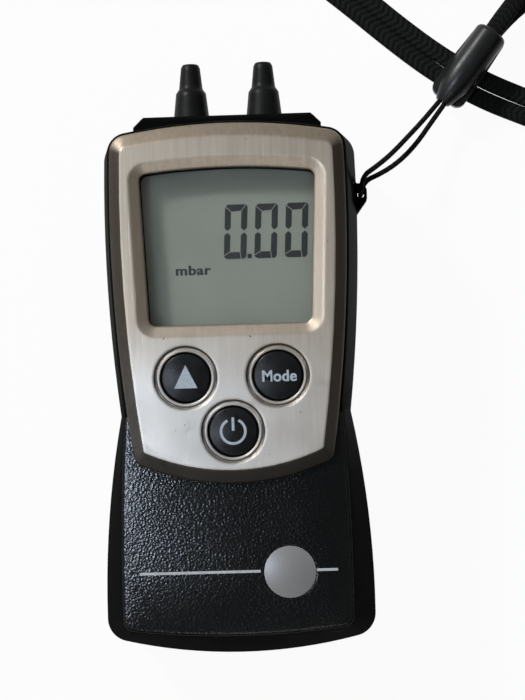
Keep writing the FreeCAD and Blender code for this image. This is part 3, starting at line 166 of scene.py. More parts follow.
class StrapSettings(bpy.types.PropertyGroup):
    colour: colour_property("Colour", "Black of the braid", (0.0058, 0.0062, 0.0060))
    clasp_colour: colour_property("Clasp colour", "Dark grey of the clasp", (0.013, 0.0135, 0.0145))
    band_width: length_property("Band width", "Width of the flat band", 0.00322)
    band_thickness: length_property("Band thickness", "Thickness of the flat band", 0.0014)
    cord_diameter: length_property("Cord diameter", "Diameter of the thin loop", 0.0009)
    braid_pitch: length_property("Braid pitch", "Length of one chevron of the braid", 0.0011)
    steps: IntProperty(name="Steps", description="Points between two points of a route", default=14, min=4)


class StageSettings(bpy.types.PropertyGroup):
    camera_place: FloatVectorProperty(name="Camera", description="Where the camera stands", unit="LENGTH",
                                      subtype="TRANSLATION", default=(0.0143, -0.01063, 0.350))
    camera_aim: FloatVectorProperty(name="Aim", description="Point in the middle of the picture", unit="LENGTH",
                                    subtype="TRANSLATION", default=(0.00486, 0.00097, 0.012))
    camera_roll: FloatProperty(name="Roll", description="Turn of the camera", subtype="ANGLE",
                               default=math.radians(-1.6))
    lens: FloatProperty(name="Lens", description="Focal length in millimetres", default=101.2)
    floor_colour: colour_property("Floor colour", "White of the floor", (0.90, 0.90, 0.90))
    floor_glow: FloatProperty(name="Floor glow", description="Share of the floor's white that shadows don't darken",
                              subtype="FACTOR", default=0.95)
    sky: FloatProperty(name="Sky", description="Strength of the even light on matt faces", default=0.24)
    reflected_sky: FloatProperty(name="Reflected sky", description="Strength of the even light in reflections",
                                 default=0.65)
    overhead: FloatProperty(name="Overhead", description="Strength straight overhead in reflections", default=0.12)
    key: FloatProperty(name="Key", description="Power of the lamp that lights and shadows the object", default=11.0)
    shine: FloatProperty(name="Shine", description="Power of the window that only reflections show", default=3.6)
    card: FloatProperty(name="Card", description="Power of the low card that only reflections show", default=0.55)


SETTINGS = {
    "manometer_housing": HousingSettings,
    "manometer_plate": PlateSettings,
    "manometer_display": DisplaySettings,
    "manometer_keys": KeySettings,
    "manometer_strap": StrapSettings,
    "manometer_stage": StageSettings,
}


# Finishes

class Nodes:
    """Short calls that add nodes to one tree."""

    def __init__(self, tree):
        self.tree = tree
        self.coordinates = self.add("ShaderNodeTexCoord")

    def add(self, kind, sockets=None, **settings):
        node = self.tree.nodes.new(kind)
        for name, value in settings.items():
            setattr(node, name, value)
        for name, value in (sockets or {}).items():
            if isinstance(value, bpy.types.NodeSocket):
                self.tree.links.new(value, node.inputs[name])
            else:
                node.inputs[name].default_value = value
        return node

    def axis(self, name, source="Object"):
        node = self.add("ShaderNodeSeparateXYZ", {"Vector": self.coordinates.outputs[source]})
        return node.outputs[name]

    def between(self, value, low, high, start=0.0, end=1.0):
        """Runs from start to end as a value goes from low to high."""
        return self.add("ShaderNodeMapRange", {
            "Value": value, "From Min": low, "From Max": high, "To Min": start, "To Max": end}).outputs["Result"]

    def maths(self, operation, first, second=0.0):
        node = self.add("ShaderNodeMath", operation=operation)
        for socket, value in zip(node.inputs, (first, second)):
            if isinstance(value, bpy.types.NodeSocket):
                self.tree.links.new(value, socket)
            else:
                socket.default_value = value
        return node.outputs["Value"]

    def blend(self, factor, first, second):
        """Mixes two shaders."""
        node = self.add("ShaderNodeMixShader", {0: factor, 1: first, 2: second})
        return node.outputs["Shader"]


class Finish(Nodes):
    """A Principled material with calls for its patterns and reliefs."""

    def __init__(self, name, colour, roughness, **sockets):
        self.material = bpy.data.materials.new(name)
        self.material.use_nodes = True
        super().__init__(self.material.node_tree)
        self.shader = self.tree.nodes["Principled BSDF"]
        self.shader.inputs["Base Color"].default_value = (*colour, 1)
        self.shader.inputs["Roughness"].default_value = roughness
        for socket, value in sockets.items():
            self.shader.inputs[socket.replace("_", " ")].default_value = value

    def place(self, scale, turn=0.0):
        """Object coordinates, turned about Z and stretched."""
        return self.add("ShaderNodeMapping", {
            "Vector": self.coordinates.outputs["Object"], "Rotation": (0, 0, turn), "Scale": scale}).outputs["Vector"]

    def grain(self, size, detail=1.0, stretch=(1, 1, 1), turn=0.0):
        """Noise whose grains are about as large as size."""
        vector = self.place([s / size for s in stretch], turn)
        return self.add("ShaderNodeTexNoise", {"Vector": vector, "Scale": 1.0, "Detail": detail}).outputs["Fac"]

    def pebbles(self, size):
        """Rounded cells, each about as large as size."""
        vector = self.place([1 / size] * 3)
        node = self.add("ShaderNodeTexVoronoi", {"Vector": vector, "Scale": 1.0}, feature="SMOOTH_F1")
        return node.outputs["Distance"]

    def attribute(self, name):
        return self.add("ShaderNodeAttribute", attribute_name=name).outputs["Fac"]

    def mix(self, factor, first, second):
        node = self.add("ShaderNodeMix", data_type="RGBA")
        for socket, value in ((node.inputs[0], factor), (node.inputs[6], first), (node.inputs[7], second)):
            if isinstance(value, bpy.types.NodeSocket):
                self.tree.links.new(value, socket)
            else:
                socket.default_value = value if socket == node.inputs[0] else (*value, 1)
        return node.outputs[2]

    def use(self, socket, value):
        self.tree.links.new(value, self.shader.inputs[socket])

    def shape(self, normal):
        """Takes one normal for the surface and for its clear coat."""
        self.use("Normal", normal)
        self.use("Coat Normal", normal)

    def rounded(self, radius):
        """Rounds the edges in the shading. Comes before any relief."""
        self.shape(self.add("ShaderNodeBevel", {"Radius": radius}, samples=6).outputs["Normal"])

    def bump(self, height, depth):
        """Adds one relief on top of those already there."""
        normal = self.shader.inputs["Normal"]
        sockets = {"Height": height, "Strength": 1.0, "Distance": depth}
        if normal.links:
            sockets["Normal"] = normal.links[0].from_socket
        self.shape(self.add("ShaderNodeBump", sockets).outputs["Normal"])


def shaded(colour, amount):
    return tuple(min(1.0, c * amount) for c in colour)


def housing_finish(settings):
    """Black plastic: smooth drafted sides, and a pebbled glossier front below the waist."""
    finish = Finish("housing_plastic", settings.side_colour, 0.5, Specular_IOR_Level=0.0, Coat_Roughness=0.2)
    finish.rounded(settings.edge * 2)
    flat = finish.between(finish.axis("Z", "Normal"), 0.55, 0.8)
    below = finish.between(finish.axis("Y"), settings.waist_y + 0.0002, settings.waist_y - 0.0002)
    high = finish.between(finish.axis("Z"), PANEL_HEIGHT - 0.0005, PANEL_HEIGHT + 0.0005)
    panel = finish.maths("MULTIPLY", finish.maths("MULTIPLY", flat, below), high)
    pebbles = finish.pebbles(settings.grain_size)
    mottle = finish.grain(0.006, 3.0)
    grained = finish.mix(finish.between(mottle, 0.35, 0.7), shaded(settings.panel_colour, 0.8),
                         shaded(settings.panel_colour, 1.25))
    scuffs = finish.between(finish.grain(0.0012, 2.0, (0.16, 1, 1), 0.9), 0.70, 0.76)
    wear_and_highlight = finish.between(finish.grain(0.011, 1.0), 0.55, 0.62)
    scuffs = finish.maths("MULTIPLY", scuffs, wear_and_highlight)
    black = finish.mix(finish.maths("MULTIPLY", scuffs, 0.35), settings.side_colour, SCUFF_COLOUR)
    finish.use("Base Color", finish.mix(panel, black, grained))
    smooth = finish.between(finish.grain(0.004, 3.0), 0.3, 0.7, 0.33, 0.44)
    rough = finish.between(mottle, 0.3, 0.7, 0.56, 0.66)
    difference = finish.maths("MULTIPLY", finish.maths("SUBTRACT", rough, smooth), panel)
    finish.use("Roughness", finish.maths("ADD", smooth, difference))
    gloss = finish.between(finish.axis("Y"), settings.waist_y - 0.01, settings.waist_y + 0.02, 0.02, 0.07)
    finish.use("Coat Weight", finish.maths("MAXIMUM", gloss, finish.between(panel, 0, 1, 0, settings.panel_gloss)))
    finish.bump(finish.maths("MULTIPLY", pebbles, panel), settings.grain_depth)
    finish.bump(finish.grain(0.00016, 2.0), 0.000004)
    return finish.material


def smooth_plastic(name, colour, roughness, grain=0.00018, depth=0.000005, specular=0.3):
    """Moulded plastic with a fine even skin."""
    finish = Finish(name, colour, roughness, Specular_IOR_Level=specular)
    tone = finish.between(finish.grain(0.005, 2.0), 0.3, 0.7)
    finish.use("Base Color", finish.mix(tone, shaded(colour, 0.86), shaded(colour, 1.16)))
    finish.use("Roughness", finish.between(finish.grain(0.002, 3.0), 0.3, 0.7, roughness - 0.05, roughness + 0.07))
    finish.bump(finish.grain(grain, 2.0), depth)
    return finish.material


def brushed_plate(settings):
    """Pale metal brushed lengthwise, with a paler painted highlight below the window and towards the left, and with
    scratches, nicks and stains.
    """
    finish = Finish("brushed_plate", settings.colour, 0.5, Metallic=1.0)
    finish.rounded(settings.edge)
    slimness = settings.brush_width / settings.brush_length
    lines = finish.grain(settings.brush_width, 3.0, (1, slimness, 1))
    broad = finish.grain(settings.brush_width * 9, 2.0, (1, slimness * 2, 1))
    cloud = finish.grain(0.012, 3.0)
    # Painted highlight: paler tone below the window, stronger towards the left
    painted_highlight_mask = finish.maths("MULTIPLY", finish.between(finish.axis("Y"), 0.006, -0.006),
                          finish.between(finish.axis("X"), 0.018, -0.006, 0.35, 1.0))
    tone = finish.mix(finish.between(broad, 0.3, 0.7), shaded(settings.colour, 0.9), shaded(settings.colour, 1.06))
    tone = finish.mix(finish.between(cloud, 0.45, 0.75, 0.0, 0.35), tone, shaded(settings.colour, 0.86))
    # Scratches are dense along the left edge and few elsewhere
    scratches = finish.between(finish.grain(0.00022, 2.0, (1, 0.03, 1), 0.22), 0.63, 0.70)
    left = finish.between(finish.axis("X"), -0.0135, -0.0175)
    low = finish.between(finish.axis("Y"), 0.027, 0.010)
    rubbed = finish.maths("MULTIPLY", finish.maths("MULTIPLY", left, low), finish.between(cloud, 0.35, 0.55))
    scratches = finish.maths("MULTIPLY", scratches, finish.maths("ADD", rubbed, 0.12))
    nicks = finish.between(finish.grain(0.0006, 1.0, (1, 0.7, 1)), 0.79, 0.81)
    stains = finish.between(finish.grain(0.0045, 5.0, (1, 0.7, 1)), 0.60, 0.74, 0.0, 0.5)
    stains = finish.maths("MULTIPLY", stains, painted_highlight_mask)
    # Painted highlight: the paler tone, varied at random by the cloud, mixed in below the window
    wear_and_highlight = finish.mix(finish.between(cloud, 0.35, 0.7), shaded(settings.painted_highlight_colour, 1.12),
                      shaded(settings.painted_highlight_colour, 0.82))
    tone = finish.mix(painted_highlight_mask, tone, wear_and_highlight)
    tone = finish.mix(scratches, tone, SCRATCH_COLOUR)
    tone = finish.mix(finish.maths("MAXIMUM", nicks, stains), tone, STAIN_COLOUR)
    # Painted shade: the steep flank's colour is darkened towards near black, save along the top, standing in for dark
    # reflections
    steep = finish.between(finish.axis("Z", "Normal"), 0.915, 0.855, 0.0, settings.flank_shade)
    painted_flank_shade_mask = finish.maths("MULTIPLY", steep, finish.between(finish.axis("Y", "Normal"), 0.4, 0.1))
    finish.use("Base Color", finish.mix(painted_flank_shade_mask, tone, PAINTED_FLANK_SHADE_COLOUR))
    finish.use("Roughness", finish.between(lines, 0.25, 0.75, 0.36, 0.48))
    finish.bump(lines, 0.0000035)
    finish.bump(finish.maths("ADD", scratches, nicks), -0.000015)
    return finish.material


def crystal_finish(settings):
    """Grey green reflector of the liquid crystal with a faint even grain."""
    finish = Finish("liquid_crystal", settings.glass_colour, 0.6, Specular_IOR_Level=0.05)
    tone = finish.between(finish.grain(0.0105, 2.0), 0.3, 0.7)
    finish.use("Base Color", finish.mix(tone, shaded(settings.glass_colour, 0.96), shaded(settings.glass_colour, 1.05)))
    finish.bump(finish.grain(0.0001, 1.0), 0.000002)
    return finish.material


def pane_finish():
    """Clear polished window."""
    finish = Finish("clear_window", (0.98, 1.0, 0.98), 0.0, Transmission_Weight=1.0, IOR=1.49, Alpha=0.3)
    finish.bump(finish.grain(0.009, 1.0), 0.000004)
    return finish.material


def printed_finish(name, colour, roughness=0.5):
    """Printed ink with a slight unevenness."""
    finish = Finish(name, colour, roughness)
    tone = finish.between(finish.grain(0.0007, 2.0), 0.3, 0.7)
    finish.use("Base Color", finish.mix(tone, shaded(colour, 0.88), shaded(colour, 1.1)))
    return finish.material


def metal_finish(name, colour, roughness, brush=0.0002):
    """Turned, pressed or plated metal with fine tool marks."""
    finish = Finish(name, colour, roughness, Metallic=1.0)
    marks = finish.grain(brush, 2.0, (1, 0.3, 1))
    finish.use("Roughness", finish.between(marks, 0.3, 0.7, roughness * 0.8, roughness * 1.3))
    finish.bump(marks, 0.000002)
    return finish.material


def braid_finish(settings, name, chevrons):
    """Woven threads that follow a band or cord, read from the piece's own attributes."""
    finish = Finish(name, settings.colour, 0.75, Specular_IOR_Level=0.1, Sheen_Weight=0.02, Sheen_Roughness=0.5)
    along = finish.maths("MULTIPLY", finish.attribute("along"), FULL_TURN / settings.braid_pitch)
    if chevrons:
        across = finish.maths("ABSOLUTE", finish.attribute("across"))
        across = finish.maths("MULTIPLY", across, FULL_TURN * 1.4 / settings.band_width)
        weave = finish.maths("SINE", finish.maths("ADD", along, across))
        strands = finish.maths("SINE", finish.maths("MULTIPLY", across, 2.2))
        weave = finish.maths("MULTIPLY", weave, finish.between(strands, -1, 1, 0.55, 1.0))
    else:
        first = finish.maths("MULTIPLY", finish.maths("SINE", along), finish.attribute("side"))
        second = finish.maths("MULTIPLY", finish.maths("COSINE", along), finish.attribute("lift"))
        weave = finish.maths("ADD", first, second)
    fibres = finish.grain(0.00008, 2.0)
    tone = finish.between(weave, -1, 1)
    finish.use("Base Color", finish.mix(tone, shaded(settings.colour, 0.45), shaded(settings.colour, 1.9)))
    finish.bump(tone, 0.00012)
    finish.bump(fibres, 0.00002)
    return finish.material


# Shapes

def piece_from(name, form, material, body):
    """Makes an object of a bmesh, gives it its finish and lets it ride on a body."""
    mesh = bpy.data.meshes.new(name)
    form.to_mesh(mesh)
    form.free()
    mesh.materials.append(material)
    piece = bpy.data.objects.new(name, mesh)
    bpy.context.scene.collection.objects.link(piece)
    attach(piece, body)
    return piece


def soften(form, sharp=SHARP_ANGLE):
    """Smooth faces with the sharp edges marked."""
    for face in form.faces:
        face.smooth = True
    for edge in form.edges:
        edge.smooth = edge.is_manifold and edge.calc_face_angle(0) < sharp


def refined(node, material, edge, segments=2, clamp=False, sharp=SHARP_ANGLE):
    """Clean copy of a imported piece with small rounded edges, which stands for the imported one."""
    source = NODES[node]
    form = bmesh.new()
    form.from_mesh(source.data)
    bmesh.ops.remove_doubles(form, verts=form.verts, dist=MERGE_DISTANCE)
    bmesh.ops.dissolve_limit(form, angle_limit=FLAT_ANGLE, verts=form.verts, edges=form.edges)
    bmesh.ops.triangulate(form, faces=[f for f in form.faces if len(f.verts) > 4])
    soften(form, sharp)
    body = source["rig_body"]
    piece = piece_from(node + "_form", form, material, body)
    if edge:
        bevel = piece.modifiers.new("Edges", "BEVEL")
        bevel.width = edge
        bevel.segments = segments
        bevel.limit_method = "ANGLE"
        bevel.angle_limit = sharp
        bevel.use_clamp_overlap = clamp
        bevel.harden_normals = True
    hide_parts(node)
    return piece


def dress(node, material):
    """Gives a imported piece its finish."""
    data = NODES[node].data
    data.materials.clear()
    data.materials.append(material)


def raise_face(form, face, height):
    """Gives a flat face a thickness upwards."""
    raised = bmesh.ops.extrude_face_region(form, geom=[face])
    top = [g for g in raised["geom"] if isinstance(g, bmesh.types.BMVert)]
    bmesh.ops.translate(form, verts=top, vec=(0, 0, height))
    bmesh.ops.recalc_face_normals(form, faces=form.faces)


def outline_plate(form, corners, z, height):
    """Flat plate of an outline, from z up."""
    raise_face(form, form.faces.new([form.verts.new((x, y, z)) for x, y in corners]), height)


def box_plate(form, low, high, z, height):
    """Flat plate between two corners, from z up."""
    outline_plate(form, [(low[0], low[1]), (high[0], low[1]), (high[0], high[1]), (low[0], high[1])], z, height)


def word_plate(text, height, centre, z, thickness, width, boldness, spread):
    """Raised word of a given height and width about a centre. Its strokes are thickened all round by boldness,
    and sideways by two more copies of the word a spread away."""
    curve = bpy.data.curves.new("word", "FONT")
    curve.body = text
    curve.offset = boldness
    curve.space_character = 1.04 + boldness * 2
    curve.extrude = 0.1  # Any depth will do, since the word is scaled to its thickness below
    holder = bpy.data.objects.new("word", curve)
    bpy.context.scene.collection.objects.link(holder)
    bpy.context.view_layer.update()
    mesh = bpy.data.meshes.new_from_object(holder.evaluated_get(bpy.context.evaluated_depsgraph_get()))
    bpy.data.objects.remove(holder)
    bpy.data.curves.remove(curve)
    form = bmesh.new()
    form.from_mesh(mesh)
    bpy.data.meshes.remove(mesh)
    bmesh.ops.remove_doubles(form, verts=form.verts, dist=0.0005)
    low = [min(v.co[i] for v in form.verts) for i in range(3)]
    high = [max(v.co[i] for v in form.verts) for i in range(3)]
    middle = Vector([(a + b) / 2 for a, b in zip(low, high)])
    bmesh.ops.translate(form, verts=form.verts, vec=-middle)
    bmesh.ops.scale(form, verts=form.verts, vec=((width - 2 * spread) / (high[0] - low[0]),
                                                 height / (high[1] - low[1]), thickness / (high[2] - low[2])))
    bmesh.ops.translate(form, verts=form.verts, vec=(centre[0], centre[1], z + thickness / 2))
    word = list(form.verts) + list(form.edges) + list(form.faces)
    for step in (-1, 1):
        copy = bmesh.ops.duplicate(form, geom=word)["geom"]
        bmesh.ops.translate(form, verts=[part for part in copy if isinstance(part, bmesh.types.BMVert)],
                            vec=(step * spread, 0, step * COPY_LIFT))
    return form


def joined(target, other):
    """Adds one bmesh to another."""
    mesh = bpy.data.meshes.new("joined")
    other.to_mesh(mesh)
    other.free()
    target.from_mesh(mesh)
    bpy.data.meshes.remove(mesh)


def route_points(route, steps):
    """Points of the smooth NURBS line through a route."""
    curve = bpy.data.curves.new("route", "CURVE")
    curve.dimensions = "3D"
    spline = curve.splines.new("NURBS")
    spline.points.add(len(route) - 1)
    for point, place in zip(spline.points, route):
        point.co = (*place, 1)
    spline.order_u = 3
    spline.use_endpoint_u = True
    spline.resolution_u = steps
    holder = bpy.data.objects.new("route", curve)
    mesh = bpy.data.meshes.new_from_object(holder)
    points = [v.co.copy() for v in mesh.vertices]
    bpy.data.meshes.remove(mesh)
    bpy.data.objects.remove(holder)
    bpy.data.curves.remove(curve)
    return points


def frames_along(points, upright):
    """A turned frame at each point: the band keeps its face up, and the cord rolls as little as it can."""
    frames = []
    side = None
    for index, point in enumerate(points):
        ahead = points[min(index + 1, len(points) - 1)]
        behind = points[max(index - 1, 0)]
        forward = (ahead - behind).normalized()
        if upright or side is None:
            side = forward.cross(Vector((0, 0, 1)))
        else:
            side = side - forward * side.dot(forward)
        side.normalize()
        lift = side.cross(forward)
        turn = Matrix((side, lift, forward)).transposed().to_4x4()
        frames.append(Matrix.Translation(point) @ turn)
    return frames


def swept(points, half_width, half_height, sides, squareness, upright):
    """Tube along points, with its place along and across kept as attributes. A squareness of 1 gives an oval
    section, and less a squarer one."""
    form = bmesh.new()
    names = ("along", "across", "side", "lift")
    layers = [form.verts.layers.float.new(name) for name in names]
    ring = bmesh.ops.create_circle(form, segments=sides, radius=1.0)["verts"]
    for vert in ring:
        x, y = vert.co.x, vert.co.y
        for layer, value in zip(layers[2:], (x, y)):
            vert[layer] = value
        vert.co.x = math.copysign(abs(x) ** squareness, x) * half_width
        vert.co.y = math.copysign(abs(y) ** squareness, y) * half_height
        vert[layers[1]] = vert.co.x
    frames = frames_along(points, upright)
    bmesh.ops.transform(form, matrix=frames[0], verts=ring)
    edges = list(form.edges)
    travelled = 0.0
    for index in range(1, len(points)):
        travelled += (points[index] - points[index - 1]).length
        grown = bmesh.ops.extrude_edge_only(form, edges=edges)["geom"]
        verts = {g for g in grown if isinstance(g, bmesh.types.BMVert)}
        edges = [g for g in grown if isinstance(g, bmesh.types.BMEdge) and set(g.verts) <= verts]
        bmesh.ops.transform(form, matrix=frames[index] @ frames[index - 1].inverted(), verts=list(verts))
        for vert in verts:
            vert[layers[0]] = travelled
    bmesh.ops.holes_fill(form, edges=[e for e in form.edges if e.is_boundary], sides=sides)
    bmesh.ops.recalc_face_normals(form, faces=form.faces)
    soften(form)
    return form


# Operators, one for each group of pieces

class PieceOperator(bpy.types.Operator):
    """Shared options of the operators below"""
    bl_options = {"REGISTER", "UNDO"}


class MANOMETER_OT_housing(PieceOperator):
    """Dresses the two housing halves, the battery door and the port block"""
    bl_idname = "manometer.housing"
    bl_label = "Housing"

    nozzle_edge = 0.00015

    def execute(self, context):
        settings = context.scene.manometer_housing
        plastic = housing_finish(settings)
        for node in ("front_housing", "rear_housing"):
            refined(node, plastic, settings.edge)
        for node in ("battery_door", "port_block"):
            refined(node, plastic, settings.edge, clamp=True)
        nozzle = smooth_plastic("nozzle_plastic", (0.0075, 0.008, 0.0082), 0.42, specular=0.12)
        for node in ("hose_nozzle_left", "hose_nozzle_right"):
            refined(node, nozzle, self.nozzle_edge)
        return {"FINISHED"}


class MANOMETER_OT_plate(PieceOperator):
    """Dresses the brushed faceplate"""
    bl_idname = "manometer.plate"
    bl_label = "Faceplate"

    def execute(self, context):
        settings = context.scene.manometer_plate
        refined("faceplate", brushed_plate(settings), 0, sharp=PRESSED_ANGLE)
        return {"FINISHED"}


class MANOMETER_OT_front_print(PieceOperator):
    """Adds the thin line on the lower front and dresses the round inlay"""
    bl_idname = "manometer.front_print"
    bl_label = "Line and inlay"

    face_z = 0.023
    line_low_y = -0.03628
    line_high_y = -0.03584
    line_spans = ((-0.01626, 0.00384), (0.01314, 0.01667))
    line_sink = 0.00001
    line_thickness = 0.00003

    def execute(self, context):
        form = bmesh.new()
        for low_x, high_x in self.line_spans:
            box_plate(form, (low_x, self.line_low_y), (high_x, self.line_high_y), self.face_z - self.line_sink,
                      self.line_thickness)
        piece_from("front_line", form, printed_finish("line_ink", (0.66, 0.69, 0.73)), "housing")
        inlay = Finish("inlay_enamel", (0.30, 0.305, 0.31), 0.34, Coat_Weight=0.15, Coat_Roughness=0.3)
        flakes = inlay.grain(0.00012, 2.0)
        inlay.use("Base Color", inlay.mix(inlay.between(flakes, 0.3, 0.7), (0.26, 0.265, 0.27), (0.34, 0.345, 0.35)))
        refined("round_inlay", inlay.material, 0)
        return {"FINISHED"}


SEGMENTS = {
    "0": "abcdef", "1": "bc", "2": "abged", "3": "abgcd", "4": "fgbc", "5": "afgcd", "6": "afgedc", "7": "abc",
    "8": "abcdefg", "9": "abcdfg",
}


class MANOMETER_OT_display(PieceOperator):
    """Dresses the display and prints its digits and unit"""
    bl_idname = "manometer.display"
    bl_label = "Display"

    first_x = -0.00103
    low_y = 0.01600
    point_place = (0.00341, 0.01649)
    point_size = 0.00074
    unit_centre = (-0.00610, 0.01435)
    unit_height = 0.00166
    unit_width = 0.00596
    unit_boldness = 0.02
    unit_spread = 0.00005
    print_height = 0.00003

    def execute(self, context):
        settings = context.scene.manometer_display
        dress("display_cell", crystal_finish(settings))
        dress("display_window", pane_finish())
        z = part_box("display_cell")[1].z
        form = bmesh.new()
        digits = [mark for mark in settings.reading if mark != "."]
        for index, mark in enumerate(digits):
            self.digit(form, settings, mark, self.first_x + index * settings.digit_pitch, z)
        if "." in settings.reading:
            half = self.point_size / 2
            x = self.point_place[0] + (settings.reading.index(".") - 1) * settings.digit_pitch
            y = self.point_place[1]
            box_plate(form, (x - half, y - half), (x + half, y + half), z, self.print_height)
        ink = printed_finish("segment_ink", settings.ink_colour, 0.35)
        joined(form, word_plate(settings.unit_word, self.unit_height, self.unit_centre, z, self.print_height,
                                self.unit_width, self.unit_boldness, self.unit_spread))
        piece_from("display_print", form, ink, "housing")
        return {"FINISHED"}

    def digit(self, form, settings, mark, x, z):
        """Seven segments, cut apart along slanted lines, that lean by the slant."""
        w, h, s = settings.digit_width, settings.digit_height, settings.stroke
        tip, taper = 0.06 * s, 0.5 * s
        middle = h / 2
        inner_high = (s, h - 1.15 * s), (w - s, h - 1.05 * s)
        inner_low = (s, 1.1 * s), (w - s, 1.1 * s)
        segments = {
            "a": [(0.06 * s, h - 0.36 * s), inner_high[0], inner_high[1], (w - 0.25 * s, h), (0.38 * s, h)],
            "f": [(0.06 * s, h - 0.36 * s), (0, h - 0.46 * s), (0, middle + taper), (s / 2, middle + tip),
                  (s, middle + taper), inner_high[0]],
            "b": [(w - 0.25 * s, h), inner_high[1], (w - s, middle + taper), (w - s / 2, middle + tip),
                  (w, middle + taper), (w, h - 0.45 * s)],
            "e": [(0, 0.5 * s), inner_low[0], (s, middle - taper), (s / 2, middle - tip), (0, middle - taper)],
            "c": [(w - 0.78 * s, 0), (w - 0.3 * s, 0), (w, 0.4 * s), (w, middle - taper), (w - s / 2, middle - tip),
                  (w - s, middle - taper), inner_low[1]],
            "d": [(0, 0.5 * s), (0.08 * s, 0.3 * s), (0.55 * s, 0), (w - 0.78 * s, 0), inner_low[1], inner_low[0]],
            "g": [(s / 2, middle), (s, middle - s / 2), (w - s, middle - s / 2), (w - s / 2, middle),
                  (w - s, middle + s / 2), (s, middle + s / 2)],
        }
        lean = math.tan(settings.slant)
        for name in SEGMENTS[mark]:
            corners = [form.verts.new((x + u + v * lean, self.low_y + v, z)) for u, v in segments[name]]
            face = form.faces.new(corners)
            face.normal_update()
            rim = bmesh.ops.inset_individual(form, faces=[face], thickness=settings.gap / 2, use_even_offset=True)
            bmesh.ops.delete(form, geom=rim["faces"], context="FACES")
            raise_face(form, face, self.print_height)


class MANOMETER_OT_keys(PieceOperator):
    """Dresses the three keys and prints their symbols"""
    bl_idname = "manometer.keys"
    bl_label = "Keys"

    sink = 0.00003
    triangle_width = 0.00386
    triangle_height = 0.00385
    ring_radius = 0.00200
    ring_width = 0.00044
    ring_gap = math.radians(33)
    bar_length = 0.0022
    word = "Mode"
    word_place = (0.00025, -0.00008)
    word_height = 0.00190
    word_width = 0.00575
    word_boldness = 0.018
    word_spread = 0.000045

    def execute(self, context):
        settings = context.scene.manometer_keys
        plastic = smooth_plastic("key_plastic", settings.colour, 0.30, 0.00025, 0.000022, 0.2)
        ink = printed_finish("symbol_ink", settings.symbol_colour)
        for key, draw in (("up", self.triangle), ("mode", self.lettering), ("power", self.power)):
            node = "button_" + key
            refined(node, plastic, settings.edge)
            low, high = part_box(node)
            centre = ((low.x + high.x) / 2, (low.y + high.y) / 2)
            form = draw(settings, centre, high.z - self.sink)
            piece_from("symbol_" + key, form, ink, "key_" + key)
        return {"FINISHED"}

    def triangle(self, settings, centre, z):
        """Upright triangle that points to the nozzles."""
        form = bmesh.new()
        half = self.triangle_width / 2
        low = centre[1] - self.triangle_height * 0.45
        outline_plate(form, [(centre[0] - half, low), (centre[0] + half, low),
                             (centre[0], low + self.triangle_height)], z, settings.symbol_height)
        return form

    def lettering(self, settings, centre, z):
        """The word on the right key."""
        place = [c + offset for c, offset in zip(centre, self.word_place)]
        return word_plate(self.word, self.word_height, place, z, settings.symbol_height, self.word_width,
                          self.word_boldness, self.word_spread)

    def power(self, settings, centre, z):
        """Open ring with an upright bar in its gap."""
        form = bmesh.new()
        half = self.ring_width / 2
        middle = Vector((centre[0], centre[1], z))
        start = middle + Vector((0, self.ring_radius, 0))
        box_plate(form, (start.x - half, start.y - half), (start.x + half, start.y + half), z, settings.symbol_height)
        turn = Matrix.Rotation(self.ring_gap, 3, "Z")
        bmesh.ops.rotate(form, verts=form.verts, cent=middle, matrix=turn)
        radial = turn @ Vector((0, 1, 0))
        side = [f for f in form.faces if abs(f.normal.dot(radial)) < 0.1 and abs(f.normal.z) < 0.1]
        forward = [f for f in side if f.normal.dot(turn @ Vector((-1, 0, 0))) > 0.5]
        bmesh.ops.spin(form, geom=forward + list(forward[0].edges) + list(forward[0].verts), cent=middle,
                       axis=(0, 0, 1), angle=2 * (math.pi - self.ring_gap), steps=36, use_duplicate=False)
        top = centre[1] + self.ring_radius + half * 1.4
        box_plate(form, (centre[0] - half, top - self.bar_length), (centre[0] + half, top), z, settings.symbol_height)
        bmesh.ops.recalc_face_normals(form, faces=form.faces)
        return form


class MANOMETER_OT_inside(PieceOperator):
    """Dresses the pieces inside the housing and the small fittings"""
    bl_idname = "manometer.inside"
    bl_label = "Inside and fittings"

    def execute(self, context):
        steel = metal_finish("spring_steel", (0.55, 0.55, 0.54), 0.28)
        silicone = smooth_plastic("silicone", (0.62, 0.63, 0.60), 0.5)
        component = smooth_plastic("component_black", (0.02, 0.02, 0.021), 0.45)
        can = smooth_plastic("cell_sleeve", (0.16, 0.17, 0.18), 0.3)
        finishes = {
            "display_holder": smooth_plastic("frame_plastic", (0.62, 0.62, 0.60), 0.5),
            "contact_strips": smooth_plastic("conductive_rubber", (0.03, 0.03, 0.032), 0.7),
            "keypad_mat": silicone,
            "switch_domes": steel,
            "circuit_board": smooth_plastic("board_laminate", (0.01, 0.10, 0.035), 0.35),
            "board_components": component,
            "pressure_sensor": component,
            "sensor_tube_left": silicone,
            "sensor_tube_right": silicone,
            "nozzle_seals": silicone,
            "nozzle_nuts": metal_finish("turned_brass", (0.62, 0.45, 0.19), 0.25),
            "battery_left": can,
            "battery_right": can,
            "bridge_contact": steel,
            "end_contacts": steel,
            "battery_springs": steel,
            "housing_screws": metal_finish("black_screws", (0.10, 0.10, 0.105), 0.35),
            "back_magnets": metal_finish("plated_magnet", (0.60, 0.60, 0.61), 0.2),
        }
        for node, material in finishes.items():
            dress(node, material)
        return {"FINISHED"}


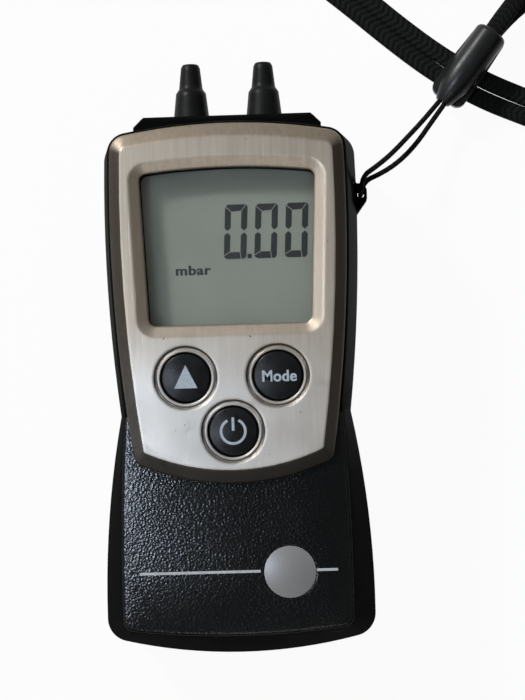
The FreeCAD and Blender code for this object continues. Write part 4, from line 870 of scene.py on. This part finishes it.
class MANOMETER_OT_strap(PieceOperator):
    """Makes the braided band, the thin loop and the clasp"""
    bl_idname = "manometer.strap"
    bl_label = "Wrist strap"

    clasp_edge = 0.0003
    cord_sides = 10
    band_sides = 16
    band_squareness = 0.62

    def execute(self, context):
        settings = context.scene.manometer_strap
        clasp = smooth_plastic("clasp_plastic", settings.clasp_colour, 0.34, specular=0.25)
        body = refined("clasp_body", clasp, self.clasp_edge, segments=3, clamp=True)
        base = refined("clasp_base", clasp, self.clasp_edge, segments=3, clamp=True)
        points = route_points(CORD_ROUTE, settings.steps)
        radius = settings.cord_diameter / 2
        form = swept(points, radius, radius, self.cord_sides, 1.0, upright=False)
        cord = piece_from("strap_loop", form, braid_finish(settings, "cord_braid", False), "housing")
        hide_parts("strap_cord")
        points = route_points(BAND_ROUTE, settings.steps)
        form = swept(points, settings.band_width / 2, settings.band_thickness / 2, self.band_sides,
                     self.band_squareness, upright=True)
        band = piece_from("strap_braid", form, braid_finish(settings, "band_braid", True), "housing")
        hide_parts("strap_band")
        return {"FINISHED"}


class MANOMETER_OT_stage(PieceOperator):
    """Sets the floor, the soft lights and the camera"""
    bl_idname = "manometer.stage"
    bl_label = "Stage"

    floor_size = 4.0
    sky_direction = (-0.35, 0.30, 0.85)
    key_place = (-0.67, 0.76, 0.64)
    key_size = 0.16
    window_place = (-0.342, -0.01, 0.94)
    window_size = 0.12
    window_colour = (0.72, 0.83, 1.0)
    card_place = (0.0, -0.56, 0.83)
    card_size = 0.12

    def execute(self, context):
        settings = context.scene.manometer_stage
        scene = context.scene
        scene.view_settings.view_transform = "Standard"
        form = bmesh.new()
        bmesh.ops.create_grid(form, x_segments=1, y_segments=1, size=self.floor_size / 2)
        mesh = bpy.data.meshes.new("floor")
        form.to_mesh(mesh)
        form.free()
        mesh.materials.append(self.floor_finish(settings))
        floor = bpy.data.objects.new("floor", mesh)
        scene.collection.objects.link(floor)
        self.sky(scene, settings)
        self.lamp("key_lamp", self.key_place, self.key_size, settings.key)
        window = self.lamp("window_shine", self.window_place, self.window_size, settings.shine)
        window.data.color = self.window_colour
        card = self.lamp("low_card", self.card_place, self.card_size, settings.card)
        for reflected in (window, card):
            reflected.visible_diffuse = False
        self.camera(scene, settings)
        return {"FINISHED"}

    def floor_finish(self, settings):
        """White floor that shows clean white to the eye and keeps a faint shadow."""
        finish = Finish("floor_white", settings.floor_colour, 0.9)
        path = finish.add("ShaderNodeLightPath").outputs
        glow = finish.add("ShaderNodeEmission", {"Color": (1, 1, 1, 1), "Strength": 1.0})
        seen = finish.maths("ADD", path["Is Camera Ray"], path["Is Glossy Ray"])
        seen = finish.maths("MULTIPLY", finish.maths("ADD", seen, path["Is Transmission Ray"]), settings.floor_glow)
        surface = finish.blend(seen, finish.shader.outputs[0], glow.outputs[0])
        finish.tree.links.new(surface, finish.tree.nodes["Material Output"].inputs["Surface"])
        return finish.material

    def sky(self, scene, settings):
        """Even light that is stronger from the upper left, and dim straight overhead where it is reflected."""
        world = bpy.data.worlds.new("studio_white")
        scene.world = world
        world.use_nodes = True
        world.node_tree.nodes.clear()
        nodes = Nodes(world.node_tree)
        path = nodes.add("ShaderNodeLightPath").outputs
        towards = nodes.add("ShaderNodeVectorMath", {0: nodes.coordinates.outputs["Generated"],
                                                     1: Vector(self.sky_direction).normalized()},
                            operation="DOT_PRODUCT").outputs["Value"]
        slope = nodes.between(towards, -0.1, 1.0, 0.03, 1.0)
        ring = nodes.between(nodes.axis("Z", "Generated"), 0.995, 0.86, settings.overhead, settings.reflected_sky)
        share = nodes.maths("MULTIPLY", path["Is Glossy Ray"], nodes.maths("SUBTRACT", ring, settings.sky))
        strength = nodes.maths("MULTIPLY", slope, nodes.maths("ADD", share, settings.sky))
        even = nodes.add("ShaderNodeBackground", {"Color": (1, 1, 1, 1), "Strength": strength})
        white = nodes.add("ShaderNodeBackground", {"Color": (1, 1, 1, 1), "Strength": 1.0})
        light = nodes.blend(path["Is Camera Ray"], even.outputs[0], white.outputs[0])
        output = nodes.add("ShaderNodeOutputWorld", {"Surface": light})
        output.is_active_output = True

    def lamp(self, name, place, size, power):
        light = bpy.data.lights.new(name, "AREA")
        light.size = size
        light.energy = power
        lamp = bpy.data.objects.new(name, light)
        lamp.location = place
        lamp.rotation_euler = Vector(place).to_track_quat("Z", "Y").to_euler()
        lamp.visible_camera = False
        bpy.context.scene.collection.objects.link(lamp)
        return lamp

    def camera(self, scene, settings):
        data = bpy.data.cameras.new("camera")
        data.lens = settings.lens
        data.sensor_width = 36.0
        data.clip_start = 0.01
        data.dof.use_dof = False
        camera = bpy.data.objects.new("camera", data)
        place, aim = Vector(settings.camera_place), Vector(settings.camera_aim)
        backward = (place - aim).normalized()
        right = Vector((0, 1, 0)).cross(backward).normalized()
        up = backward.cross(right)
        turn = Matrix((right, up, backward)).transposed() @ Matrix.Rotation(settings.camera_roll, 3, "Z")
        camera.matrix_world = Matrix.Translation(place) @ turn.to_4x4()
        scene.collection.objects.link(camera)
        scene.camera = camera


OPERATORS = [
    MANOMETER_OT_stage, MANOMETER_OT_strap, MANOMETER_OT_housing, MANOMETER_OT_plate, MANOMETER_OT_front_print,
    MANOMETER_OT_display, MANOMETER_OT_keys, MANOMETER_OT_inside,
]


class MANOMETER_PT_panel(bpy.types.Panel):
    """Sidebar panel with the settings and operators"""
    bl_idname = "MANOMETER_PT_panel"
    bl_label = "Digital Manometer"
    bl_space_type = "VIEW_3D"
    bl_region_type = "UI"
    bl_category = "Manometer"

    def draw(self, context):
        for name, group in SETTINGS.items():
            box = self.layout.box()
            for field in group.__annotations__:
                box.prop(getattr(context.scene, name), field)
        for operator in OPERATORS:
            self.layout.operator(operator.bl_idname)


CLASSES = list(SETTINGS.values()) + OPERATORS + [MANOMETER_PT_panel]


def register():
    for cls in CLASSES:
        bpy.utils.register_class(cls)
    for name, group in SETTINGS.items():
        setattr(bpy.types.Scene, name, PointerProperty(type=group))


def unregister():
    for name in SETTINGS:
        delattr(bpy.types.Scene, name)
    for cls in reversed(CLASSES):
        bpy.utils.unregister_class(cls)


def main():
    register()
    for operator in OPERATORS:
        area, name = operator.bl_idname.split(".")
        getattr(getattr(bpy.ops, area), name)()


if __name__ == "__main__":
    main()
